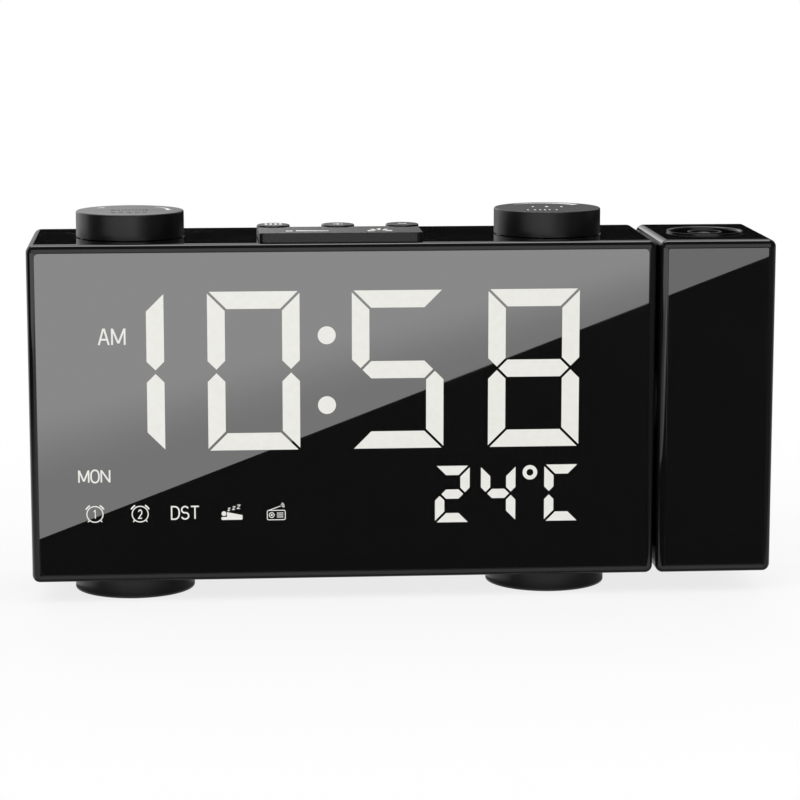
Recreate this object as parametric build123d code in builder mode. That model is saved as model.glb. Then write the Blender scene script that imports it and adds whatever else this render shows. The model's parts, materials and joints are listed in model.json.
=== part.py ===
from build123d import *
import os
from math import cos, radians, sin

os.makedirs("parts", exist_ok=True)

# Projection alarm clock, in millimetres.
# The origin is on the table, under the middle of the whole clock.
# +X runs to the projector head's side, +Y to the back and +Z up.

# ---------------------------------------------------------------- driving dimensions
# clock body and projector head
body_width = 156.8
body_height = 85.0
body_depth = 41.5
head_width = 29.4
head_gap = 0.8
edge_radius = 1.9
wall = 2.0
cover_depth = 3.5
lip_depth = 3.0
lip_wall = 1.2

# dark window in the front of each
window_border = 1.95
window_thickness = 1.8
window_corner = 1.2
window_gap = 0.08
ledge_width = 5.0
ledge_height = 3.0
ledge_thickness = 1.6
ledge_web = 0.6

# feet
foot_height = 5.6
foot_lift = 0.1
foot_radius = 15.3
foot_edge = 0.25
pad_radius = 12.5
pad_recess = 1.2

# round knobs, each on a rotary encoder with a push switch
knob_inset = 25.3
knob_radius = 13.6
knob_rise = 6.6
knob_gap = 0.08
dish_depth = 0.7
dish_gap = 0.3
knob_edge = 0.4
knob_roof = 1.8
knob_skirt = 1.6
knob_hub_radius = 4.6
shaft_radius = 3.0
shaft_flat = 2.2
encoder_size = 12.0
encoder_height = 5.5
encoder_floor = 0.5
encoder_collar = 0.85
rotor_radius = 4.4
rotor_height = 3.0
knob_travel = 0.4

# control bar and the three round buttons behind it
bar_width = 40.9
bar_depth = 15.3
bar_rise = 2.4
bar_offset = -0.5
bar_front_inset = 2.3
bar_corner = 1.8
bar_edge = 0.35
bar_wall = 1.4
hook_length = 7.0
hook_reach = 1.1
bar_roof = 1.6
bar_stem_inset = 4.45
button_radius = 4.2
button_inset = 4.05
button_setback = 2.75
button_rise = 2.75
button_flange = 0.7
flange_thickness = 0.9
key_travel = 0.4

# tactile switches and their board
switch_size = 6.0
switch_height = 3.5
plunger_radius = 1.7
plunger_height = 0.8
stem_radius = 1.5
key_board_rim = 2.0
key_board_gap = 0.3
key_screw_y = 5.0
board_thickness = 1.6

# numerals: width, height and stroke of the large and the small ones
digit_width = 22.9
digit_height = 39.9
digit_stroke = 4.35
digit_split = 0.75
digit_pitch = 33.9
digits_mid = -19.65
digits_level = 58.85
hour_shift = 17.95
colon_radius = 2.25
colon_rise = 8.8
small_width = 8.75
small_height = 14.45
small_stroke = 2.36
small_split = 0.5
small_pitch = 11.6
small_left = 12.0
small_level = 26.95
unit_shift = 27.64
degree_shift = 19.6
degree_rise = 5.3
degree_radius = 1.85
legend_height = 4.6
legend_level = 23.3
weekday_level = 32.7
weekday_width = 8.4
weekday_pitch = 11.2
weekday_count = 7
legend_inset = 15.9
legend_pitch = 11.3
legend_width = 7.2
legend_count = 5

# display module behind the window
diffuser_thickness = 0.3
mask_depth = 6.0
mask_gap = 0.6
display_board_thickness = 1.4
post_drop = 14.0
led_size = 1.6
led_height = 0.8

# main board and what stands on it
main_board_left = -26.0
main_board_right = 47.0
main_board_bottom = 13.0
main_board_top = 76.0
main_board_front = 4.2
post_radius = 2.6
post_inset = 4.0
usb_level = 22.0
usb_a_x = 6.0
usb_a_width = 13.1
usb_a_height = 5.7
usb_c_x = 30.0
usb_c_width = 8.94
usb_c_height = 3.26
usb_a_tongue_width = 11.1
usb_a_tongue = 1.9
usb_a_tongue_rise = 1.4
usb_a_depth = 9.0
usb_c_tongue_width = 6.7
usb_c_tongue = 0.8
usb_c_depth = 6.4
usb_shell = 0.3
usb_recess = 0.4

# chips, coil, plug and capacitors, placed from the main board's middle and edges
clock_chip = 12.0
clock_chip_x = -8.0
clock_chip_z = 8.0
radio_chip = 8.0
radio_chip_x = 16.0
radio_chip_z = 10.0
power_chip = 7.0
power_chip_x = 4.0
power_chip_z = -14.0
chip_height = 1.4
plug_width = 7.0
plug_length = 8.0
plug_inset = 6.0
coil_width = 6.0
coil_length = 12.0
coil_inset = 8.0
coil_drop = 10.0
tall_part = 6.0
capacitor_radius = 3.0
capacitor_height = 7.5
capacitor_pitch = 10.0

# coin cell behind its quarter-turn door
cell_radius = 10.0
cell_height = 3.2
cell_chamfer = 0.5
cell_x = 18.0
cell_z = 56.0
door_radius = 12.4
door_thickness = 1.6
door_hub_radius = 11.1
door_hub_wall = 1.5
door_lug_reach = 1.0
door_lug_width = 6.0
door_lug_depth = 1.2
door_turn = 40.0
door_well = 1.8
door_lip = 1.4
coin_slot_width = 1.8
coin_slot_length = 15.0
coin_slot_depth = 0.9
contact_thickness = 0.25
contact_length = 10.0
contact_width = 3.4
strip_height = 5.0
strip_width = 2.0
cup_floor = 1.2
ring_lip = 1.0

# loudspeaker and its grille
speaker_x = -52.0
speaker_z = 47.0
speaker_radius = 18.0
speaker_depth = 13.0
speaker_flange = 1.2
magnet_radius = 10.5
magnet_height = 5.5
basket_step = 1.0
surround = 2.4
cone_thickness = 0.6
cone_cap = 2.4
cone_cap_edge = 1.5
grille_radius = 16.0
grille_slot = 1.6
grille_pitch = 3.2
rib_wall = 1.4
rib_height = 3.0

# air slots beside the main board
vent_count = 5
vent_length = 12.0
vent_pitch = 3.4
vent_x = 44.0

# pivot of the projector head
axle_radius = 6.0
axle_bore = 3.6
axle_flange_radius = 10.0
axle_flange = 1.6
bush_wall = 1.6
bush_flange_radius = 10.8
bush_flange = 1.8
bush_board_gap = 0.4
slip_radius = 9.5
wave_thickness = 0.5
stop_plate_radius = 8.2
stop_plate = 1.5
stop_tab_angle = 24.0
axle_flat = 5.0
flange_screw_radius = 8.0
stop_lug_wall = 1.6
head_turn = 90.0
stop_slack = 1.0
ring_thickness = 0.8
ring_groove = 0.8
ring_reach = 1.6
axle_tail = 1.2

# projector optics
focus_ring_radius = 9.8
focus_lip = 0.75
focus_proud = 0.35
focus_chamfer = 0.2
focus_flange = 1.5
focus_recess = 4.4
focus_web = 1.2
barrel_radius = 4.4
barrel_length = 12.5
barrel_rise = 0.05
barrel_wall = 0.6
key_width = 1.9
key_reach = 1.7
key_length = 2.6
lens_sink = 0.1
lens_dome = 1.3
focus_travel = 1.0
tube_radius = 8.5
tube_wall = 1.2
tube_bottom = 43.6
tube_collar_radius = 12.0
collar_web = 2.0
shelf = 1.2
lens_thickness = 3.6
condenser_radius = 7.2
condenser_dome = 2.2
condenser_level = 50.0
condenser_thickness = 3.4
lcd_size = 12.6
lcd_length = 16.0
lcd_thickness = 2.0
lcd_level = 58.0
lcd_back = 9.5
ear_level = 71.0
ear_height = 7.0
ear_thickness = 2.0
ear_pitch = 20.2
lamp_board_width = 17.0
lamp_board_depth = 24.0
lamp_radius = 2.5
lamp_height = 3.4
lamp_dome = 2.0
head_board_z = 24.0
head_board_height = 24.0
head_board_width = 22.0
head_board_pitch = 18.0
head_board_y = -13.5
lead_radius = 0.9
lead_bend = 3.0
lead_tail = 2.0

# fasteners
screw_radius = 1.1
screw_head_radius = 2.0
screw_head = 1.3
screw_length = 14.0
screw_sink = 0.1
head_screw_length = 9.0
head_boss_length = 5.0
head_screw_pitch = 56.0
flange_screw_length = 3.2
board_screw_length = 4.5
boss_radius = 2.8
boss_bite = 0.4
boss_length = 14.0
small_screw_radius = 0.8
small_head_radius = 1.5
small_head = 1.0
foot_screw_radius = 1.4
foot_screw_head_radius = 2.7
foot_screw_head = 1.8
foot_boss_radius = 3.5
foot_boss_height = 6.0

# clearances
seat_gap = 0.05
run_gap = 0.05
slide_gap = 0.1
fit_gap = 0.15
key_gap = 0.25
hole_gap = 0.2
notch_gap = 0.35

# ---------------------------------------------------------------- derived places
overall_width = body_width + head_gap + head_width
body_left = -overall_width / 2
body_right = body_left + body_width
head_left = body_right + head_gap
head_right = overall_width / 2
body_mid = (body_left + body_right) / 2
head_mid = (head_left + head_right) / 2
front = -body_depth / 2
back = body_depth / 2
underside = foot_height
top = underside + body_height
mid_height = (underside + top) / 2
seam = back - cover_depth
cover_inside = back - wall
floor_inside = underside + wall
roof_inside = top - wall
window_seat = front + window_thickness + seat_gap
ledge_back = window_seat + ledge_thickness

REARWARD = (0, 1, 0)
FORWARD = (0, -1, 0)


def upright(y):
    """A sketch plane across the clock at depth y, with +X and +Z as its own x and y."""
    return Plane(origin=(0, y, 0), x_dir=(1, 0, 0), z_dir=FORWARD)


def level(z):
    """A level sketch plane at height z."""
    return Plane.XY.offset(z)


def along(x):
    """A sketch plane square to the pivot at x, with +Y and +Z as its own x and y."""
    return Plane.YZ.offset(x)


def finish(part, name):
    """Label a finished piece and write it under its node's name."""
    part.part.label = name
    export_step(part.part, f"parts/{name}.step")


# ---------------------------------------------------------------- clock body's shell
# One moulded sleeve, rounded on every edge, open at the back. The window lies in a
# recess that runs out to the rounded edge, on a ledge round the display opening.
cover_screw_x = body_width / 2 - wall - boss_radius + boss_bite
cover_screw_z = body_height / 2 - wall - boss_radius + boss_bite
boss_front = seam - lip_depth - seat_gap
display_post_x = body_width / 2 - wall - ledge_width / 2
display_post_z = body_height / 2 - wall - post_drop
display_width = body_width - 2 * (wall + ledge_width)
display_height = body_height - 2 * (wall + ledge_height)
display_back = window_seat + diffuser_thickness + mask_depth
bush_inner = body_right - wall - bush_flange
wave_face = bush_inner - seat_gap
stop_face = wave_face - wave_thickness - seat_gap
encoder_x = (body_left + knob_inset, body_right - knob_inset)
bar_mid = body_mid + bar_offset
bar_front = front + bar_front_inset
bar_y = bar_front + bar_depth / 2
bar_back = bar_front + bar_depth
bar_stem_y = bar_back - bar_stem_inset
button_y = bar_back + button_setback
button_pitch = bar_width / 2 - button_inset
button_x = tuple(bar_mid + n * button_pitch for n in (-1, 0, 1))
bar_stem_x = tuple(bar_mid + n * button_pitch / 2 for n in (-1, 1))
key_board_top = roof_inside - seat_gap - encoder_height - encoder_collar
key_screw_x = ((encoder_x[0] + button_x[0]) / 2, (encoder_x[1] + button_x[2]) / 2)
pivot_hole = axle_radius + run_gap + bush_wall

with BuildPart() as main_casing:
    with Locations((body_mid, 0, mid_height)):
        Box(body_width, body_depth, body_height)
    fillet(main_casing.edges(), radius=edge_radius)
    split(bisect_by=upright(seam), keep=Keep.TOP)
    # hollow, recess for the window, and the opening that the digits show through
    with BuildSketch(upright(ledge_back)):
        with Locations((body_mid, mid_height)):
            Rectangle(body_width - 2 * wall, body_height - 2 * wall)
    extrude(amount=body_depth, dir=REARWARD, mode=Mode.SUBTRACT)
    with BuildSketch(upright(front)):
        with Locations((body_mid, mid_height)):
            RectangleRounded(
                body_width - 2 * window_border, body_height - 2 * window_border, window_corner
            )
    extrude(amount=window_seat - front, dir=REARWARD, mode=Mode.SUBTRACT)
    with BuildSketch(upright(window_seat)):
        with Locations((body_mid, mid_height)):
            Rectangle(display_width, display_height)
    extrude(amount=ledge_thickness, dir=REARWARD, mode=Mode.SUBTRACT)
    # posts for the display module, bosses for the back cover
    with BuildSketch(upright(ledge_back)):
        with Locations((body_mid, mid_height)):
            with GridLocations(2 * display_post_x, 2 * display_post_z, 2, 2):
                Circle(ledge_width / 2 - fit_gap)
    extrude(amount=display_back - ledge_back, dir=REARWARD)
    with BuildSketch(upright(boss_front)):
        with Locations((body_mid, mid_height)):
            with GridLocations(2 * cover_screw_x, 2 * cover_screw_z, 2, 2):
                Circle(boss_radius)
    extrude(amount=boss_length, dir=FORWARD)
    # pillars for the key board under the roof and for the feet on the floor
    with BuildSketch(level(roof_inside)):
        with Locations(*[(x, key_screw_y) for x in key_screw_x]):
            Circle(boss_radius)
    extrude(amount=key_board_top - roof_inside)
    with BuildSketch(level(floor_inside)):
        with Locations(*[(x, 0) for x in encoder_x]):
            Circle(foot_boss_radius)
    extrude(amount=foot_boss_height)
    # screw holes
    with BuildSketch(upright(display_back)):
        with Locations((body_mid, mid_height)):
            with GridLocations(2 * display_post_x, 2 * display_post_z, 2, 2):
                Circle(small_screw_radius + seat_gap)
    extrude(amount=display_back - ledge_back, dir=FORWARD, mode=Mode.SUBTRACT)
    with BuildSketch(upright(boss_front)):
        with Locations((body_mid, mid_height)):
            with GridLocations(2 * cover_screw_x, 2 * cover_screw_z, 2, 2):
                Circle(screw_radius + seat_gap)
    extrude(amount=boss_length - wall, dir=FORWARD, mode=Mode.SUBTRACT)
    with BuildSketch(level(key_board_top)):
        with Locations(*[(x, key_screw_y) for x in key_screw_x]):
            Circle(small_screw_radius + seat_gap)
    extrude(amount=roof_inside - key_board_top - seat_gap, mode=Mode.SUBTRACT)
    with BuildSketch(level(underside)):
        with Locations(*[(x, 0) for x in encoder_x]):
            Circle(foot_screw_radius + seat_gap)
    extrude(amount=foot_boss_height, mode=Mode.SUBTRACT)
    # one opening for the bar and the three buttons, and a hole for each knob's shaft
    with BuildSketch(level(roof_inside)):
        with Locations((bar_mid, bar_y)):
            RectangleRounded(
                bar_width + 2 * key_gap, bar_depth + 2 * key_gap, bar_corner + key_gap
            )
        with Locations(*[(x, button_y) for x in button_x]):
            Circle(button_radius + key_gap)
        with Locations(*[(x, 0) for x in encoder_x]):
            Circle(shaft_radius + 2 * hole_gap)
    extrude(amount=wall, mode=Mode.SUBTRACT)
    # a shallow dish round each knob, so that the knob seems to stand on the roof
    with BuildSketch(level(top - dish_depth)):
        with Locations(*[(x, 0) for x in encoder_x]):
            Circle(knob_radius + dish_gap)
    extrude(amount=dish_depth, mode=Mode.SUBTRACT)
    # clearance in the ledge below the bar
    with BuildSketch(level(roof_inside)):
        with Locations((bar_mid, window_seat + ledge_thickness)):
            Rectangle(bar_width + 2 * key_gap, 2 * (ledge_thickness - ledge_web))
    extrude(amount=-ledge_web - key_travel, mode=Mode.SUBTRACT)
    # seat of the pivot bush
    with BuildSketch(along(body_right - wall)):
        with Locations((0, mid_height)):
            Circle(pivot_hole + seat_gap)
    extrude(amount=wall, mode=Mode.SUBTRACT)
finish(main_casing, "main_casing")

# ---------------------------------------------------------------- back cover
# It closes the sleeve, and a lip inside the sleeve lines the two up. It carries the
# loudspeaker behind its grille, the coin cell's door and the main board's posts.
main_board_back = main_board_front + board_thickness
main_board_x = (main_board_left + main_board_right) / 2
main_board_z = (main_board_bottom + main_board_top) / 2
post_pitch_x = main_board_right - main_board_left - 2 * post_inset
post_pitch_z = main_board_top - main_board_bottom - 2 * post_inset
well_radius = door_radius + hole_gap
well_floor = back - door_well
lip_front = well_floor - door_lip
lug_front = lip_front - seat_gap - door_lug_depth
cell_back = lug_front - hole_gap
cell_ring_front = cell_back - ring_lip
cell_ring_radius = well_radius + rib_wall
speaker_seat = cover_inside - seat_gap
speaker_ring = speaker_radius + fit_gap
grille_rows = int((grille_radius - grille_slot) / grille_pitch)
lip_front_edge = seam - lip_depth
vent_z = main_board_top - vent_length

with BuildPart() as rear_cover:
    with Locations((body_mid, 0, mid_height)):
        Box(body_width, body_depth, body_height)
    fillet(rear_cover.edges(), radius=edge_radius)
    split(bisect_by=upright(seam), keep=Keep.BOTTOM)
    with BuildSketch(upright(cover_inside)):
        with Locations((body_mid, mid_height)):
            Rectangle(body_width - 2 * wall, body_height - 2 * wall)
    extrude(amount=cover_depth, dir=FORWARD, mode=Mode.SUBTRACT)
    # lip inside the sleeve, and columns over the screw bosses
    with BuildSketch(upright(cover_inside)):
        with Locations((body_mid, mid_height)):
            Rectangle(body_width - 2 * (wall + fit_gap), body_height - 2 * (wall + fit_gap))
            Rectangle(
                body_width - 2 * (wall + fit_gap + lip_wall),
                body_height - 2 * (wall + fit_gap + lip_wall),
                mode=Mode.SUBTRACT,
            )
            with GridLocations(2 * cover_screw_x, 2 * cover_screw_z, 2, 2):
                Circle(boss_radius - boss_bite - fit_gap)
    extrude(amount=cover_inside - lip_front_edge, dir=FORWARD)
    # rings for the loudspeaker and the coin cell, and posts for the main board
    with BuildSketch(upright(cover_inside)):
        with Locations((speaker_x, speaker_z)):
            Circle(speaker_ring + rib_wall)
            Circle(speaker_ring, mode=Mode.SUBTRACT)
    extrude(amount=rib_height, dir=FORWARD)
    with BuildSketch(upright(cover_inside)):
        with Locations((cell_x, cell_z)):
            Circle(cell_ring_radius)
    extrude(amount=cover_inside - cell_ring_front, dir=FORWARD)
    with BuildSketch(upright(cover_inside)):
        with Locations((main_board_x, main_board_z)):
            with GridLocations(post_pitch_x, post_pitch_z, 2, 2):
                Circle(post_radius)
    extrude(amount=cover_inside - main_board_back, dir=FORWARD)
    # well, notched lip and lug chamber of the quarter-turn door
    with BuildSketch(upright(back)):
        with Locations((cell_x, cell_z)):
            Circle(well_radius)
    extrude(amount=door_well, dir=FORWARD, mode=Mode.SUBTRACT)
    with BuildSketch(upright(well_floor)):
        with Locations((cell_x, cell_z)):
            Circle(door_hub_radius + slide_gap)
            with PolarLocations(door_hub_radius, 3, start_angle=90 - door_turn):
                Rectangle(2 * (door_lug_reach + slide_gap), door_lug_width + 2 * hole_gap)
    extrude(amount=door_lip, dir=FORWARD, mode=Mode.SUBTRACT)
    with BuildSketch(upright(lip_front)):
        with Locations((cell_x, cell_z)):
            Circle(well_radius)
    extrude(amount=lip_front - cell_ring_front, dir=FORWARD, mode=Mode.SUBTRACT)
    # grille: level slots that end on a circle
    with BuildSketch(upright(back)):
        for row in range(-grille_rows, grille_rows + 1):
            rise = row * grille_pitch
            with Locations((speaker_x, speaker_z + rise)):
                SlotOverall(2 * (grille_radius**2 - rise**2) ** 0.5 + grille_slot, grille_slot)
    extrude(amount=wall, dir=FORWARD, mode=Mode.SUBTRACT)
    # air slots, sockets and screw holes
    with BuildSketch(upright(back)):
        with Locations((vent_x, vent_z)):
            with GridLocations(vent_pitch, 0, vent_count, 1):
                SlotOverall(vent_length, grille_slot, rotation=90)
        with Locations((usb_a_x, usb_level)):
            Rectangle(usb_a_width + 2 * hole_gap, usb_a_height + 2 * hole_gap)
        with Locations((usb_c_x, usb_level)):
            SlotOverall(usb_c_width + 2 * hole_gap, usb_c_height + 2 * hole_gap)
    extrude(amount=wall, dir=FORWARD, mode=Mode.SUBTRACT)
    with BuildSketch(upright(back)):
        with Locations((body_mid, mid_height)):
            with GridLocations(2 * cover_screw_x, 2 * cover_screw_z, 2, 2):
                Circle(screw_radius + hole_gap)
    extrude(amount=back - lip_front_edge, dir=FORWARD, mode=Mode.SUBTRACT)
    with BuildSketch(upright(back)):
        with Locations((body_mid, mid_height)):
            with GridLocations(2 * cover_screw_x, 2 * cover_screw_z, 2, 2):
                Circle(screw_head_radius + hole_gap)
    extrude(amount=screw_head + screw_sink, dir=FORWARD, mode=Mode.SUBTRACT)
    with BuildSketch(upright(main_board_back)):
        with Locations((main_board_x, main_board_z)):
            with GridLocations(post_pitch_x, post_pitch_z, 2, 2):
                Circle(small_screw_radius + seat_gap)
    extrude(amount=board_screw_length, dir=REARWARD, mode=Mode.SUBTRACT)
finish(rear_cover, "rear_cover")

# ---------------------------------------------------------------- window and digits
with BuildPart() as display_window:
    with BuildSketch(upright(front)):
        with Locations((body_mid, mid_height)):
            RectangleRounded(
                body_width - 2 * (window_border + window_gap),
                body_height - 2 * (window_border + window_gap),
                window_corner - window_gap,
            )
    extrude(amount=window_thickness, dir=REARWARD)
finish(display_window, "display_window")

# A thin light-spreading film lies between the window and the block of light wells.
module_width = display_width - 2 * mask_gap
module_height = display_height - 2 * mask_gap
with BuildPart() as diffuser_sheet:
    with BuildSketch(upright(window_seat)):
        with Locations((body_mid, mid_height)):
            Rectangle(module_width, module_height)
    extrude(amount=diffuser_thickness - seat_gap, dir=REARWARD)
finish(diffuser_sheet, "diffuser_sheet")


def segment_outlines(width, height, stroke, split_gap):
    """The seven bars of one numeral about its middle, as lists of corner points.

    Bars meet at mitred outer corners and at pointed middle ends, split_gap apart.
    """
    x = width / 2
    z = height / 2
    tip = stroke / 2
    upper = [(-x + split_gap, z), (x - split_gap, z), (x - stroke - split_gap, z - stroke),
             (-x + stroke + split_gap, z - stroke)]
    side = [(-x, z - split_gap), (-x + stroke, z - stroke - split_gap),
            (-x + stroke, tip + split_gap), (-x + tip, split_gap), (-x, tip + split_gap)]
    middle = [(-x + tip + split_gap, 0), (-x + stroke + split_gap, tip),
              (x - stroke - split_gap, tip), (x - tip - split_gap, 0),
              (x - stroke - split_gap, -tip), (-x + stroke + split_gap, -tip)]
    outlines = [upper, [(px, -pz) for px, pz in upper], middle]
    for turn_x, turn_z in ((1, 1), (1, -1), (-1, 1), (-1, -1)):
        outlines.append([(turn_x * px, turn_z * pz) for px, pz in side])
    return outlines


# The block of light wells: one well for each bar of each numeral, each dot and each
# lamp-lit word, open to the film in front and to its own lamp behind.
mask_front = window_seat + diffuser_thickness
legend_left = body_left + legend_inset
digit_mids = [digits_mid + side * (hour_shift + n * digit_pitch) for side in (-1, 1) for n in (0, 1)]
small_mids = [small_left, small_left + small_pitch, small_left + unit_shift]
large_outlines = segment_outlines(digit_width, digit_height, digit_stroke, digit_split)
small_outlines = segment_outlines(small_width, small_height, small_stroke, small_split)
with BuildPart() as segment_mask:
    with BuildSketch(upright(mask_front)):
        with Locations((body_mid, mid_height)):
            Rectangle(module_width, module_height)
    extrude(amount=mask_depth, dir=REARWARD)
    with BuildSketch(upright(mask_front)):
        for digit_x in digit_mids:
            for outline in large_outlines:
                with BuildLine():
                    Polyline([(px + digit_x, pz + digits_level) for px, pz in outline], close=True)
                make_face()
        for digit_x in small_mids:
            for outline in small_outlines:
                with BuildLine():
                    Polyline([(px + digit_x, pz + small_level) for px, pz in outline], close=True)
                make_face()
        with Locations((digits_mid, digits_level)):
            with GridLocations(0, 2 * colon_rise, 1, 2):
                Circle(colon_radius)
        with Locations((small_left + degree_shift, small_level + degree_rise)):
            Circle(degree_radius)
        for n in range(weekday_count):
            with Locations((legend_left + n * weekday_pitch, weekday_level)):
                Rectangle(weekday_width, legend_height)
        for n in range(legend_count):
            with Locations((legend_left + n * legend_pitch, legend_level)):
                Rectangle(legend_width, legend_height)
        with Locations((digit_mids[0], digits_level + colon_rise)):
            Rectangle(legend_width, legend_height)
    extrude(amount=mask_depth, dir=REARWARD, mode=Mode.SUBTRACT)
finish(segment_mask, "segment_mask")

# The board's edge is notched round the pivot of the projector head.
with BuildPart() as display_board:
    with BuildSketch(upright(display_back)):
        with Locations((body_mid, mid_height)):
            Rectangle(body_width - 2 * (wall + mask_gap), module_height)
            with GridLocations(2 * display_post_x, 2 * display_post_z, 2, 2):
                Circle(small_screw_radius + hole_gap, mode=Mode.SUBTRACT)
        with Locations((stop_face - stop_plate - bush_board_gap, mid_height)):
            Rectangle(
                bush_flange + wave_thickness + stop_plate + wall,
                2 * (bush_flange_radius + bush_board_gap),
                align=(Align.MIN, Align.CENTER),
                mode=Mode.SUBTRACT,
            )
    extrude(amount=display_board_thickness, dir=REARWARD)
finish(display_board, "display_board")

# One lamp on the board at the middle of each well.
with BuildPart() as display_leds:
    with BuildSketch(upright(display_back)):
        for digit_x in digit_mids:
            with Locations((digit_x, digits_level)):
                with GridLocations(digit_width - digit_stroke, digit_height / 2, 2, 2):
                    Rectangle(led_size, led_size)
                with GridLocations(0, digit_height - digit_stroke, 1, 2):
                    Rectangle(led_size, led_size)
                Rectangle(led_size, led_size)
        for digit_x in small_mids:
            with Locations((digit_x, small_level)):
                with GridLocations(small_width - small_stroke, small_height / 2, 2, 2):
                    Rectangle(led_size, led_size)
                with GridLocations(0, small_height - small_stroke, 1, 2):
                    Rectangle(led_size, led_size)
                Rectangle(led_size, led_size)
        with Locations((digits_mid, digits_level)):
            with GridLocations(0, 2 * colon_rise, 1, 2):
                Rectangle(led_size, led_size)
        with Locations(
            (digit_mids[0], digits_level + colon_rise),
            (small_left + degree_shift, small_level + degree_rise),
        ):
            Rectangle(led_size, led_size)
        for n in range(legend_count):
            with Locations((legend_left + n * legend_pitch, legend_level)):
                Rectangle(led_size, led_size)
        for n in range(weekday_count):
            with Locations((legend_left + n * weekday_pitch, weekday_level)):
                Rectangle(led_size, led_size)
    extrude(amount=led_height, dir=FORWARD)
finish(display_leds, "display_leds")

# ---------------------------------------------------------------- main board
with BuildPart() as main_board:
    with BuildSketch(upright(main_board_front)):
        with Locations((main_board_x, main_board_z)):
            Rectangle(main_board_right - main_board_left, main_board_top - main_board_bottom)
            with GridLocations(post_pitch_x, post_pitch_z, 2, 2):
                Circle(small_screw_radius + hole_gap, mode=Mode.SUBTRACT)
    extrude(amount=board_thickness, dir=REARWARD)
finish(main_board, "main_board")

# Clock and radio chips and the voltage converter's coil, then capacitors and plugs.
with BuildPart() as board_parts:
    with BuildSketch(upright(main_board_front)):
        with Locations((main_board_x + clock_chip_x, main_board_z + clock_chip_z)):
            Rectangle(clock_chip, clock_chip)
        with Locations((main_board_x + radio_chip_x, main_board_z + radio_chip_z)):
            Rectangle(radio_chip, radio_chip)
        with Locations((main_board_x + power_chip_x, main_board_z + power_chip_z)):
            Rectangle(power_chip, power_chip)
    extrude(amount=chip_height, dir=FORWARD)
    with BuildSketch(upright(main_board_front)):
        with Locations((main_board_right - plug_inset, mid_height)):
            Rectangle(plug_width, plug_length)
        with Locations((main_board_left + coil_inset, main_board_z - coil_drop)):
            Rectangle(coil_width, coil_length)
    extrude(amount=tall_part, dir=FORWARD)
    with BuildSketch(upright(main_board_back)):
        with Locations((main_board_right - plug_inset, main_board_z)):
            with GridLocations(0, capacitor_pitch, 1, 2):
                Circle(capacitor_radius)
    extrude(amount=capacitor_height, dir=REARWARD)
finish(board_parts, "board_parts")

# Power inlet and charging outlet stand on the main board and reach the back cover.
usb_back = back - usb_recess
with BuildPart() as usb_a_outlet:
    with BuildSketch(upright(main_board_back)):
        with Locations((usb_a_x, usb_level)):
            Rectangle(usb_a_width, usb_a_height)
    extrude(amount=usb_back - main_board_back, dir=REARWARD)
    with BuildSketch(upright(usb_back)):
        with Locations((usb_a_x, usb_level)):
            Rectangle(usb_a_width - 2 * usb_shell, usb_a_height - 2 * usb_shell)
        with Locations((usb_a_x, usb_level + usb_a_tongue_rise)):
            Rectangle(usb_a_tongue_width, usb_a_tongue, mode=Mode.SUBTRACT)
    extrude(amount=usb_a_depth, dir=FORWARD, mode=Mode.SUBTRACT)
finish(usb_a_outlet, "usb_a_outlet")

with BuildPart() as usb_c_inlet:
    with BuildSketch(upright(main_board_back)):
        with Locations((usb_c_x, usb_level)):
            SlotOverall(usb_c_width, usb_c_height)
    extrude(amount=usb_back - main_board_back, dir=REARWARD)
    with BuildSketch(upright(usb_back)):
        with Locations((usb_c_x, usb_level)):
            SlotOverall(usb_c_width - 2 * usb_shell, usb_c_height - 2 * usb_shell)
            Rectangle(usb_c_tongue_width, usb_c_tongue, mode=Mode.SUBTRACT)
    extrude(amount=usb_c_depth, dir=FORWARD, mode=Mode.SUBTRACT)
finish(usb_c_inlet, "usb_c_inlet")

# ---------------------------------------------------------------- coin cell
# A cup on the cover's ring holds the cell. The door turns through door_turn, until its
# lugs stand behind the notches of the lip and it lifts out.
cup_front = cell_back - cell_height - contact_thickness - slide_gap - cup_floor
with BuildPart() as cell_holder:
    with BuildSketch(upright(cup_front)):
        with Locations((cell_x, cell_z)):
            Circle(cell_ring_radius)
    extrude(amount=cell_ring_front - seat_gap - cup_front, dir=REARWARD)
    with BuildSketch(upright(cup_front + cup_floor)):
        with Locations((cell_x, cell_z)):
            Circle(cell_radius + notch_gap)
    extrude(amount=cell_ring_front - cup_front, dir=REARWARD, mode=Mode.SUBTRACT)
finish(cell_holder, "cell_holder")

with BuildPart() as coin_cell:
    with BuildSketch(upright(cell_back)):
        with Locations((cell_x, cell_z)):
            Circle(cell_radius)
    extrude(amount=cell_height, dir=FORWARD)
    chamfer(coin_cell.edges().sort_by(Axis.Y)[0], length=cell_chamfer)
finish(coin_cell, "coin_cell")

# A leaf under the cell and a curved strip at its edge.
with BuildPart() as cell_contacts:
    with BuildSketch(upright(cup_front + cup_floor)):
        with Locations((cell_x, cell_z)):
            Rectangle(contact_length, contact_width)
    extrude(amount=contact_thickness, dir=REARWARD)
    with BuildSketch(upright(cup_front + cup_floor + 2 * contact_thickness)):
        with Locations((cell_x, cell_z)):
            Circle(cell_radius + notch_gap - seat_gap)
            Circle(cell_radius + seat_gap, mode=Mode.SUBTRACT)
            Rectangle(3 * cell_radius, strip_height, mode=Mode.INTERSECT)
        with Locations((cell_x + cell_radius, cell_z)):
            Rectangle(2 * cell_radius, 3 * cell_radius, mode=Mode.SUBTRACT)
    extrude(amount=strip_width, dir=REARWARD)
finish(cell_contacts, "cell_contacts")

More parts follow.
